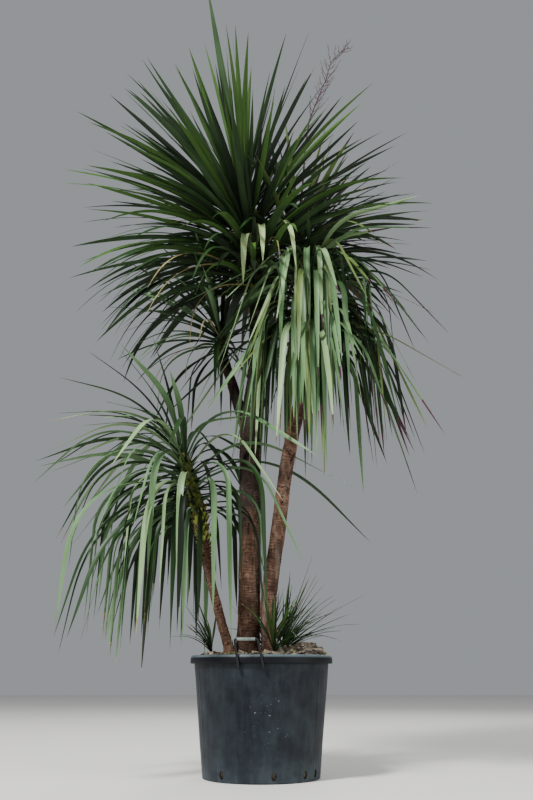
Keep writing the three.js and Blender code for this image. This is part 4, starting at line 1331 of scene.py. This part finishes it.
class LeafSizes(PropertyGroup):
    """How finely leaves are made, and their colours."""

    steps_per_bend: IntProperty(
        name="Steps", description="Steps along a leaf for each bend of the solids", default=6, min=2
    )
    infill: FloatProperty(
        name="Infill", description="Share of the finer leaves that are grown", default=1.0, min=0
    )
    fold: FloatProperty(name="Fold", description="Depth of the fold as a share", default=0.6, min=0)
    # Deep is the colour of old leaves and partly painted shade; pale and silver are painted light, lit
    # copies of the leaf colour for leaves broadside to the light and in the full light
    deep_colour: colour_property("Deep", "Old leaves in the shade", "0c1a0a")
    mid_colour: colour_property("Mid", "Full-grown leaves", "1f3a17")
    fresh_colour: colour_property("Fresh", "Young leaves", "3a5c1e")
    olive_colour: colour_property("Olive", "Leaves with yellow in them", "61753f")
    grey_colour: colour_property("Grey", "Leaves with a grey bloom", "5e7f56")
    pale_colour: colour_property("Pale", "Leaves broadside to the light", "84a073")
    silver_colour: colour_property("Silver", "Leaves that hang in the full light", "a6bd87")
    bronze_colour: colour_property("Bronze", "Ageing leaves", "3b3226")
    straw_colour: colour_property("Straw", "Dry tips", "8f8358")
    wine_colour: colour_property("Wine", "Dry tips of the weeping head", "4c2f36")
    lime_colour: colour_property("Lime", "Clasping bases of the youngest leaves", "7f8c30")
    husk_colour: colour_property("Husk", "Frayed remains of old leaf bases", "4a3222")


class StageSettings(PropertyGroup):
    """Floor, light and camera."""

    floor_colour: colour_property("Floor", "Colour of the floor", "dcdad5")
    surround_colour: colour_property("Surround", "Colour of the surround", "dfe4e8")
    surround: FloatProperty(name="Surround light", description="Strength", default=0.42, min=0)
    key_light: power_property("Key light", 1050)
    fill_light: power_property("Fill light", 130)
    back_light: power_property("Back light", 160)
    camera_height: length_property("Camera height", "Height of the camera", 0.372)
    camera_distance: length_property("Camera distance", "From the pot's axis", 3.52)
    camera_pitch: FloatProperty(
        name="Camera pitch", description="Upward tilt", subtype="ANGLE", default=17.93 * DEG
    )
    lens: FloatProperty(name="Lens", description="Focal length", subtype="DISTANCE_CAMERA", default=38.25)


# Operators


class CORDYLINE_OT_pot(Operator):
    """Turn the pot with its lip, floor, mould lines and drain slots"""

    bl_idname = "cordyline.pot"
    bl_label = "Pot"

    def execute(self, context):
        sizes = context.scene.cordyline_pot
        names = ("top_radius", "rim_radius", "base_radius", "height", "lip_drop")
        top, rim, base, height, drop = (getattr(sizes, name) / MM for name in names)
        lip = height - drop
        inside = top - POT_WALL
        core = base - POT_WALL
        wall = [(mix(base, top, t), mix(8, lip, t)) for t in np.linspace(0, 1, 18)]
        inner = [(mix(inside, core, t), mix(lip, POT_FLOOR + 4, t)) for t in np.linspace(0, 1, 8)]
        # Radius and height from the foot up the wall, under and over the lip, and down inside
        profile = [
            (0, 0), (base - 30, 0), (base - 7, 0), (base - 2.5, 1), (base - 0.6, 3.5), *wall,
            (top + 0.6, height - 9), (top + 2.5, height - 7), (rim - 7, height - 7),
            (rim - 4.5, height - 8.5), (rim - 4, lip + 1.5), (rim - 3.2, lip + 0.3),
            (rim - 1.2, lip), (rim - 0.2, lip + 1), (rim, height - 16), (rim - 0.7, height - 11),
            (rim - 2.4, height - 6), (rim - 4.6, height - 2.2), (rim - 7.6, height),
            (inside + 5, height), (inside + 1.5, height - 0.8), (inside, height - 4), *inner,
            (core - 4, POT_FLOOR), (0, POT_FLOOR),
        ]
        # Fine columns stand at each mould line, so that its ridge shows
        near = [(line + d) % 360 for line in MOULD_LINES for d in (-0.7, -0.35, 0, 0.35, 0.7)]
        angles = np.unique(np.round([*np.arange(0, 360, 2.5), *near], 2)) * DEG
        points, faces = revolve(profile, angles)
        points = self.warp(points, lip, base, top)
        piece = make_piece("nursery_pot", points, faces, [pot_material(sizes)])
        piece.data.shade_smooth()
        self.cut_drains(context, piece, base)
        piece.data.set_sharp_from_angle(angle=38 * DEG)
        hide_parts("pot")
        return {"FINISHED"}

    def warp(self, points, lip, base, top):
        """Ridges at the mould lines, and the slight sag of a full thin wall."""
        around = np.degrees(np.arctan2(points[:, 0], -points[:, 1]))
        radius = np.hypot(points[:, 0], points[:, 1])
        level = points[:, 2]
        outer = (level > 5) & (level <= lip + 1) & (radius > mix(base, top, level / lip) - 2)
        ridge = np.zeros(len(points))
        for line in MOULD_LINES:
            off = (around - line + 180) % 360 - 180
            ridge += np.exp(-((off / 0.4) ** 2)) * 0.9
        sag = (lumps(points / 120, 31) - 0.6) * 2.2
        sag = sag * smooth(10, 120, level) * smooth(lip + 5, lip - 90, level)
        stands = np.where(outer & (radius < top + 1), (ridge + sag) / np.maximum(radius, 1), 0)
        moved = points.copy()
        moved[:, :2] *= (1 + stands)[:, None]
        return moved

    def cut_drains(self, context, piece, base):
        """Oval slots through the foot of the wall."""
        parts = []
        width, tall = DRAIN_SIZE
        sides = 20
        for compass in DRAIN_ANGLES:
            angle = (compass - 90) * DEG
            out = heading(angle)
            across = np.array([-out[1], out[0], 0])
            rings = []
            for reach in (base - 25, base + 15):
                for k in range(sides):
                    a = k / sides * 2 * math.pi
                    flat = 1 if abs(math.sin(a)) < 0.9 else 0.98
                    place = out * reach + across * math.cos(a) * width / 2 * flat
                    place[2] = DRAIN_LEVEL + math.sin(a) * tall / 2
                    rings.append(place)
            parts.append((np.array(rings), skin_faces(2, sides)))
        points, faces = join_parts(parts)
        cutter = make_piece("drain_cutter", points, faces, [])
        cut = piece.modifiers.new("drains", "BOOLEAN")
        cut.operation = "DIFFERENCE"
        cut.solver = "EXACT"
        cut.object = cutter
        made = piece.evaluated_get(context.evaluated_depsgraph_get())
        shape = bpy.data.meshes.new_from_object(made)
        piece.modifiers.clear()
        piece.data = shape
        bpy.data.objects.remove(cutter)


class CORDYLINE_OT_mulch(Operator):
    """Heap the potting mix and scatter bark chips and moss over it"""

    bl_idname = "cordyline.mulch"
    bl_label = "Mulch"

    def execute(self, context):
        sizes = context.scene.cordyline_mulch
        pot = context.scene.cordyline_pot
        wall = pot.top_radius / MM - POT_WALL - OFF_WALL[0]
        foot = pot.base_radius / MM - POT_WALL - OFF_WALL[1]
        angles = np.linspace(0, 2 * math.pi, MULCH_SIDES, endpoint=False)
        around = np.stack([np.sin(angles), -np.cos(angles)])
        rings = []
        for r in (*np.linspace(6, PLATEAU, 34), 235, 246, wall):
            x, y = around * r
            rings.append(np.stack([x, y, self.height(x, y, wall)], 1))
        floor = np.full(MULCH_SIDES, POT_FLOOR + MULCH_GAP)
        rings.append(np.stack([*(around * foot), floor], 1))
        faces = [face[::-1] for face in skin_faces(len(rings), MULCH_SIDES)]
        peat = crumbly_material("peat_and_bark", tuple(sizes.dark_colour), tuple(sizes.pale_colour))
        mulch = make_piece("mulch", np.concatenate(rings), faces, [peat])
        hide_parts("soil")
        self.chips(sizes, wall)
        return {"FINISHED"}

    def height(self, x, y, wall):
        """Height of the mulch at each place, as the solids have it but rougher."""
        off = [(x - HEAP_CENTRE[0]) / HEAP_SPREAD[0], (y - HEAP_CENTRE[1]) / HEAP_SPREAD[1]]
        heap = np.exp(-off[0] ** 2 - off[1] ** 2) * MULCH_HEAP
        place = np.stack([x, y, np.zeros_like(x)], -1)
        rough = (lumps(place / 26, 3) - 0.5) * 9 + (lumps(place / 9, 4) - 0.5) * 5
        edge = smooth(wall + 3, PLATEAU, np.hypot(x, y))
        return mix(SOIL_EDGE, SOIL_SEAT + heap + rough - 1, edge)

    def chips(self, sizes, wall):
        """Flat broken chips lying this way and that, a few of them mossy. Each third one lies
        on the heap."""
        points = []
        faces = []
        tones = []
        room = wall - CHIPS_INSIDE
        for n in range(sizes.chips):
            r = [chance(CHIP_KEYS + n, k) for k in range(24)]
            around = r[0] * 2 * math.pi
            radius = math.sqrt(r[1]) * room
            x, y = math.sin(around) * radius, -math.cos(around) * radius
            if n % 3 == 0:
                x, y = (
                    middle + (share - 0.5) * 2 * spread * 0.8
                    for middle, share, spread in zip(HEAP_CENTRE, r, HEAP_SPREAD)
                )
                if math.hypot(x, y) > room:
                    continue
            z = float(self.height(np.array([x]), np.array([y]), wall)[0])
            long = sizes.chip_length / MM * mix(0.22, 1, r[2] ** 2)
            half = np.array([long / 2, long * mix(0.2, 0.42, r[3]), mix(1.5, 4, r[4])])
            corners = BOX_CORNERS.copy()
            for k in range(8):
                corners[k] *= [mix(0.6, 1.1, r[5 + k]), mix(0.6, 1.1, r[12 - k % 6]), 1]
            turn, pitch, roll = r[20] * 2 * math.pi, mix(-0.5, 0.5, r[21]), mix(-0.6, 0.6, r[22])
            flat = heading(turn)
            along = flat * math.cos(pitch) + np.array([0, 0, math.sin(pitch)])
            side = np.array([-flat[1], flat[0], math.tan(roll)])
            side = unit(side - along * (side @ along))
            up = np.cross(along, side)
            centre = np.array([x, y, z + half[2] * 0.6 + 1])
            faces += [tuple(len(points) + k for k in face) for face in BOX_FACES]
            points += [centre + a * along + b * side + c * up for a, b, c in corners * half]
            tones += [2 if r[23] < MOSSY else int(r[23] * 2)] * len(BOX_FACES)
        chip, moss = tuple(sizes.chip_colour), tuple(sizes.moss_colour)
        materials = [
            crumbly_material("bark_chip_dark", tinted(chip, 0.3), tinted(chip, 0.75)),
            crumbly_material("bark_chip_pale", tinted(chip, 0.65), tinted(chip, 1.3)),
            crumbly_material("dry_moss", tinted(moss, 0.5), moss),
        ]
        piece = make_piece("bark_chips", points, faces, materials, tones)
        piece.data.set_sharp_from_angle(angle=30 * DEG)


class CORDYLINE_OT_handles(Operator):
    """Bend the two wire handles that hook under the lip, and fit their grips"""

    bl_idname = "cordyline.handles"
    bl_label = "Handles"

    def execute(self, context):
        sizes = context.scene.cordyline_handle
        pot = context.scene.cordyline_pot
        wire = wire_material(tuple(sizes.wire_colour))
        sleeve = grip_material(tuple(sizes.grip_colour))
        left, right = self.leg(sizes, pot, 0), self.leg(sizes, pot, 1)
        path = rounded([*left, *right[::-1]], WIRE_BEND)
        bar = np.array(left[-1]), np.array(right[-1])
        radius = sizes.grip_radius / MM
        bore = sizes.wire_radius / MM + 0.3
        # Share of the bar and radius at each ring of the sleeve, with its rounded ends
        rings = [
            (0.1, bore), (0.1, radius - 1.6), (0.112, radius - 0.4), (0.13, radius), (0.5, radius),
            (0.87, radius), (0.888, radius - 0.4), (0.9, radius - 1.6), (0.9, bore),
        ]
        # Rings at the same share are set a hair apart, so that the sweep has a direction there
        grip_path = [
            mix(*bar, share) + (bar[1] - bar[0]) * 1e-5 * k for k, (share, _) in enumerate(rings)
        ]
        for side in ("front", "back"):
            turn = np.array([1, 1, 1]) if side == "front" else np.array([-1, -1, 1])
            points, faces = sweep(path, sizes.wire_radius / MM, 14)
            body = make_piece(f"{side}_handle_wire", points * turn, faces, [wire])
            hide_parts(f"{side}_handle")
            points, faces = sweep(grip_path, [r for _, r in rings], 20)
            grip = make_piece(f"{side}_handle_grip", points * turn, faces, [sleeve])
            grip.data.set_sharp_from_angle(angle=50 * DEG)
            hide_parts(f"{side}_grip")
        return {"FINISHED"}

    def leg(self, sizes, pot, number):
        """One leg from its hook under the lip up to the bar."""
        top = HANDLE_X[number]
        foot = top + HANDLE_LEAN[number]
        out = (pot.rim_radius + sizes.wire_radius) / MM + LIP_GAP
        hook = [
            (foot, -math.sqrt((out - inward) ** 2 - foot**2), HANDLE_FOOT + rise)
            for inward, rise in HOOK
        ]
        return [*hook, (top, hook[-1][1], HANDLE_TOP)]


class CORDYLINE_OT_stems(Operator):
    """Grow the trunk, stems and boughs with the relief of their bark"""

    bl_idname = "cordyline.stems"
    bl_label = "Stems"

    def execute(self, context):
        sizes = context.scene.cordyline_stem
        bark = bark_material(sizes)
        for seed, (name, stations) in enumerate(limb_stations().items()):
            collar = COLLAR if name.endswith("bough") else 0.0
            parts = [limb_mesh(stations, seed * 10 + 3, sizes, LIMB_SIDES[name], BARK_STEP, collar)]
            if name in STUBS:
                parts.append(stub_mesh(*STUBS[name], sizes))
            points, faces = join_parts([(p, f) for p, f, _ in parts])
            piece = make_piece(f"{name}_bark", points, faces, [bark])
            # The young field marks painted shade high on each limb, under the heads, at a wavering height
            wavy = points[:, 2] + (lumps(points / 50, 91) - 0.5) * PAINTED_SHADE_WANDER
            fields = {
                "depth": np.concatenate([depth for _, _, depth in parts]),
                "young": smooth(*PAINTED_SHADE_FROM[name], wavy),
            }
            for field, values in fields.items():
                attribute = piece.data.attributes.new(field, "FLOAT", "POINT")
                attribute.data.foreach_set("value", values.astype(np.float32))
            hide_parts(name)
        return {"FINISHED"}


class CORDYLINE_OT_heads(Operator):
    """Grow every head: its clasping leaf bases and its sword leaves"""

    bl_idname = "cordyline.heads"
    bl_label = "Heads of leaves"

    def execute(self, context):
        sizes = context.scene.cordyline_leaf
        palette = leaf_palette(sizes)
        bars = keep_out()
        rinds = {
            age: crumbly_material(f"{age}_leaf_bases", linear(dark), linear(pale))
            for age, (dark, pale) in BASE_COLOURS.items()
        }
        for head in HEADS:
            name = head["name"]
            leaves = grow_head(head, sizes, palette, bars).finish(f"{name}_leaves")
            masses = [f"{name}_mass_{k + 1}" for k in range(head["masses"])]
            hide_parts(f"{name}_tip", *masses)
            rind = rinds["young" if name == "left_head" else "old"]
            bases = make_piece(f"{name}_leaf_bases", *sheath_mesh(head), [rind])
        scales = scale_spray(palette).finish("left_stem_old_leaf_bases")
        return {"FINISHED"}


class CORDYLINE_OT_suckers(Operator):
    """Grow the grassy shoots that rise from the mulch"""

    bl_idname = "cordyline.suckers"
    bl_label = "Suckers"

    def execute(self, context):
        sizes = context.scene.cordyline_leaf
        palette = leaf_palette(sizes, bpy.data.materials)
        for name, shoot in SUCKERS.items():
            spray = Spray(palette, ("mid", "fresh"), clear=0.2)
            for row in range(SUCKER_ROWS):
                self.grow(spray, sizes, shoot, row)
            piece = spray.finish(f"{name}_leaves")
            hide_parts(name)
        return {"FINISHED"}

    def grow(self, spray, sizes, shoot, row):
        """One row of a shoot's leaves; the rows after the first are shorter."""
        seed, foot, leaves, length, lean, toward = shoot
        for i in range(leaves):
            r = [chance(seed * HEAD_KEYS + i + row * ROW_KEYS, k) for k in range(8)]
            wide = (leaves - i) / leaves
            leaf = {
                **PLAIN_LEAF,
                "start": np.array([*foot, SOIL_SEAT + mix(12, 36, 1 - wide)]),
                "rise": (90 - lean * mix(0.25, 1, wide)) * DEG,
                "face": toward * DEG + mix(-1, 1, r[0]) * 1.7,
                "length": length * mix(0.6, 1, r[1]) * (0.85 if row else 1),
                "bend": mix(10, 60, r[2]) * wide * DEG,
                "sway": mix(-10, 10, r[3]) * DEG,
                "twist": mix(-40, 40, r[4]) * DEG,
                "width": SUCKER_WIDTH * mix(0.7, 1.2, r[5]),
            }
            tone = ("deep", "mid", "mid", "fresh")[int(r[6] * 4)]
            tip = (0.12, "straw") if r[7] < 0.4 else None
            spray.add(leaf_course(leaf, 3 * sizes.steps_per_bend), sizes.fold, tone, tip)


class CORDYLINE_OT_flower_stalk(Operator):
    """Branch the dead flower stalk into its twigs"""

    bl_idname = "cordyline.flower_stalk"
    bl_label = "Dead flower stalk"

    def execute(self, context):
        sizes = context.scene.cordyline_stem
        points = [np.array(p, float) for p in STALK]
        stem = rounded(points, 14, 3)
        parts = [sweep(stem, np.linspace(*STALK_RADII, len(stem)), 9)]
        top = CAD_BOX[1][2] / MM - 2
        for k in range(BARE_STATIONS, len(points)):
            for n in range(TWIGS):
                key = TWIG_KEYS + k * 8 + n
                parts += self.twig(points[k - 1], points[k], key, n, top)
        stalk = stalk_material(tuple(sizes.stalk_colour))
        piece = make_piece("dead_flower_twigs", *join_parts(parts), [stalk])
        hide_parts("dead_flower_stalk")
        return {"FINISHED"}

    def twig(self, before, after, key, n, top):
        """One of the twigs between two stations, with its twiglets, all under the top."""
        r = [chance(key, j) for j in range(18)]
        along = unit(after - before)
        foot = mix(before, after, (n + r[2]) / TWIGS)
        turn = mix(-70, 70, r[1]) * DEG + (math.pi if n % 2 else 0)
        out = heading(turn)
        reach = min(TWIG_LENGTH * mix(0.7, 1.25, r[0]), (top - foot[2]) / 1.15)
        elbow = foot + (along * mix(0.4, 0.8, r[3]) + out * 0.65) * reach * 0.45
        end = elbow + (along * 0.6 + out * mix(0.2, 0.5, r[4]) + (0, 0, 0.4)) * reach * 0.55
        path = rounded([foot, elbow, end], 14, 4)
        parts = [sweep(path, np.linspace(*TWIG_RADII, len(path)), 6)]
        for m in range(6):
            start = mix(foot, elbow, 0.35 + 0.3 * m) if m < 3 else mix(elbow, end, 0.24 * (m - 2))
            bend = turn + mix(-1.4, 1.4, r[5 + m])
            size = reach * mix(0.14, 0.34, r[12 + m])
            tip = start + (along * 0.5 + (math.cos(bend) * 0.6, math.sin(bend) * 0.6, 0.4)) * size
            if tip[2] <= top:
                twiglet = [start, mix(start, tip, 0.6) + (0, 0, 2), tip]
                parts.append(sweep(twiglet, TWIGLET_RADII, 5))
        return parts


class CORDYLINE_OT_stage(Operator):
    """Lay the pale floor, set soft studio light and place the camera"""

    bl_idname = "cordyline.stage"
    bl_label = "Stage"

    def execute(self, context):
        settings = context.scene.cordyline_stage
        self.floor(context, settings)
        self.surround(context, settings)
        for name, (place, size) in LAMPS.items():
            self.lamp(context, name, place, size, getattr(settings, f"{name}_light"))
        camera = bpy.data.cameras.new("camera")
        camera.lens = settings.lens
        camera.sensor_width = 36
        camera.clip_end = 100
        holder = bpy.data.objects.new("camera", camera)
        holder.location = (CAMERA_RIGHT, -settings.camera_distance, settings.camera_height)
        holder.rotation_euler = (math.pi / 2 + settings.camera_pitch, 0, 0)
        context.scene.collection.objects.link(holder)
        context.scene.camera = holder
        return {"FINISHED"}

    def floor(self, context, settings):
        mesh = bpy.data.meshes.new("floor")
        turns = ((-1, -1), (1, -1), (1, 1), (-1, 1))
        corners = [(x * FLOOR_HALF, y * FLOOR_HALF, 0) for x, y in turns]
        mesh.from_pydata(corners, [], [(0, 1, 2, 3)])
        material = new_material("matt_studio_floor", 0.9, 0.2)
        surface = material.node_tree.nodes["Principled BSDF"].inputs
        surface["Base Color"].default_value = (*settings.floor_colour, 1)
        mesh.materials.append(material)
        floor = bpy.data.objects.new("floor", mesh)
        context.scene.collection.objects.link(floor)

    def surround(self, context, settings):
        world = bpy.data.worlds.new("surround")
        world.use_nodes = True
        background = world.node_tree.nodes["Background"].inputs
        background["Color"].default_value = (*settings.surround_colour, 1)
        background["Strength"].default_value = settings.surround
        context.scene.world = world

    def lamp(self, context, name, place, size, power):
        """A round lamp that looks at the middle of the plant."""
        light = bpy.data.lights.new(name, "AREA")
        light.energy = power
        light.shape = "DISK"
        light.size = size
        lamp = bpy.data.objects.new(name, light)
        lamp.location = place
        lamp.rotation_mode = "QUATERNION"
        lamp.rotation_quaternion = (Vector(PLANT_MIDDLE) - Vector(place)).to_track_quat("-Z", "Y")
        context.scene.collection.objects.link(lamp)


class CORDYLINE_PT_panel(Panel):
    """Steps that build the plant, with their sizes"""

    bl_label = "Potted cordyline"
    bl_idname = "CORDYLINE_PT_panel"
    bl_space_type = "VIEW_3D"
    bl_region_type = "UI"
    bl_category = "Cordyline"

    def draw(self, context):
        for operator, group in STEPS:
            self.layout.operator(f"cordyline.{operator}")
            if group:
                settings = getattr(context.scene, group)
                for name in settings.__annotations__:
                    self.layout.prop(settings, name)


GROUPS = {
    "cordyline_pot": PotSizes,
    "cordyline_mulch": MulchSizes,
    "cordyline_handle": HandleSizes,
    "cordyline_stem": StemSizes,
    "cordyline_leaf": LeafSizes,
    "cordyline_stage": StageSettings,
}
# Each step with the group of properties that it is the first to use
STEPS = (
    ("pot", "cordyline_pot"),
    ("mulch", "cordyline_mulch"),
    ("handles", "cordyline_handle"),
    ("stems", "cordyline_stem"),
    ("heads", "cordyline_leaf"),
    ("suckers", None),
    ("flower_stalk", None),
    ("stage", "cordyline_stage"),
)
CLASSES = (
    *GROUPS.values(),
    CORDYLINE_OT_pot,
    CORDYLINE_OT_mulch,
    CORDYLINE_OT_handles,
    CORDYLINE_OT_stems,
    CORDYLINE_OT_heads,
    CORDYLINE_OT_suckers,
    CORDYLINE_OT_flower_stalk,
    CORDYLINE_OT_stage,
    CORDYLINE_PT_panel,
)


def register():
    for cls in CLASSES:
        bpy.utils.register_class(cls)
    for name, group in GROUPS.items():
        setattr(bpy.types.Scene, name, PointerProperty(type=group))


def unregister():
    for name in GROUPS:
        delattr(bpy.types.Scene, name)
    for cls in reversed(CLASSES):
        bpy.utils.unregister_class(cls)


def main():
    register()
    for operator, _ in STEPS:
        getattr(bpy.ops.cordyline, operator)()


if __name__ == "__main__":
    main()
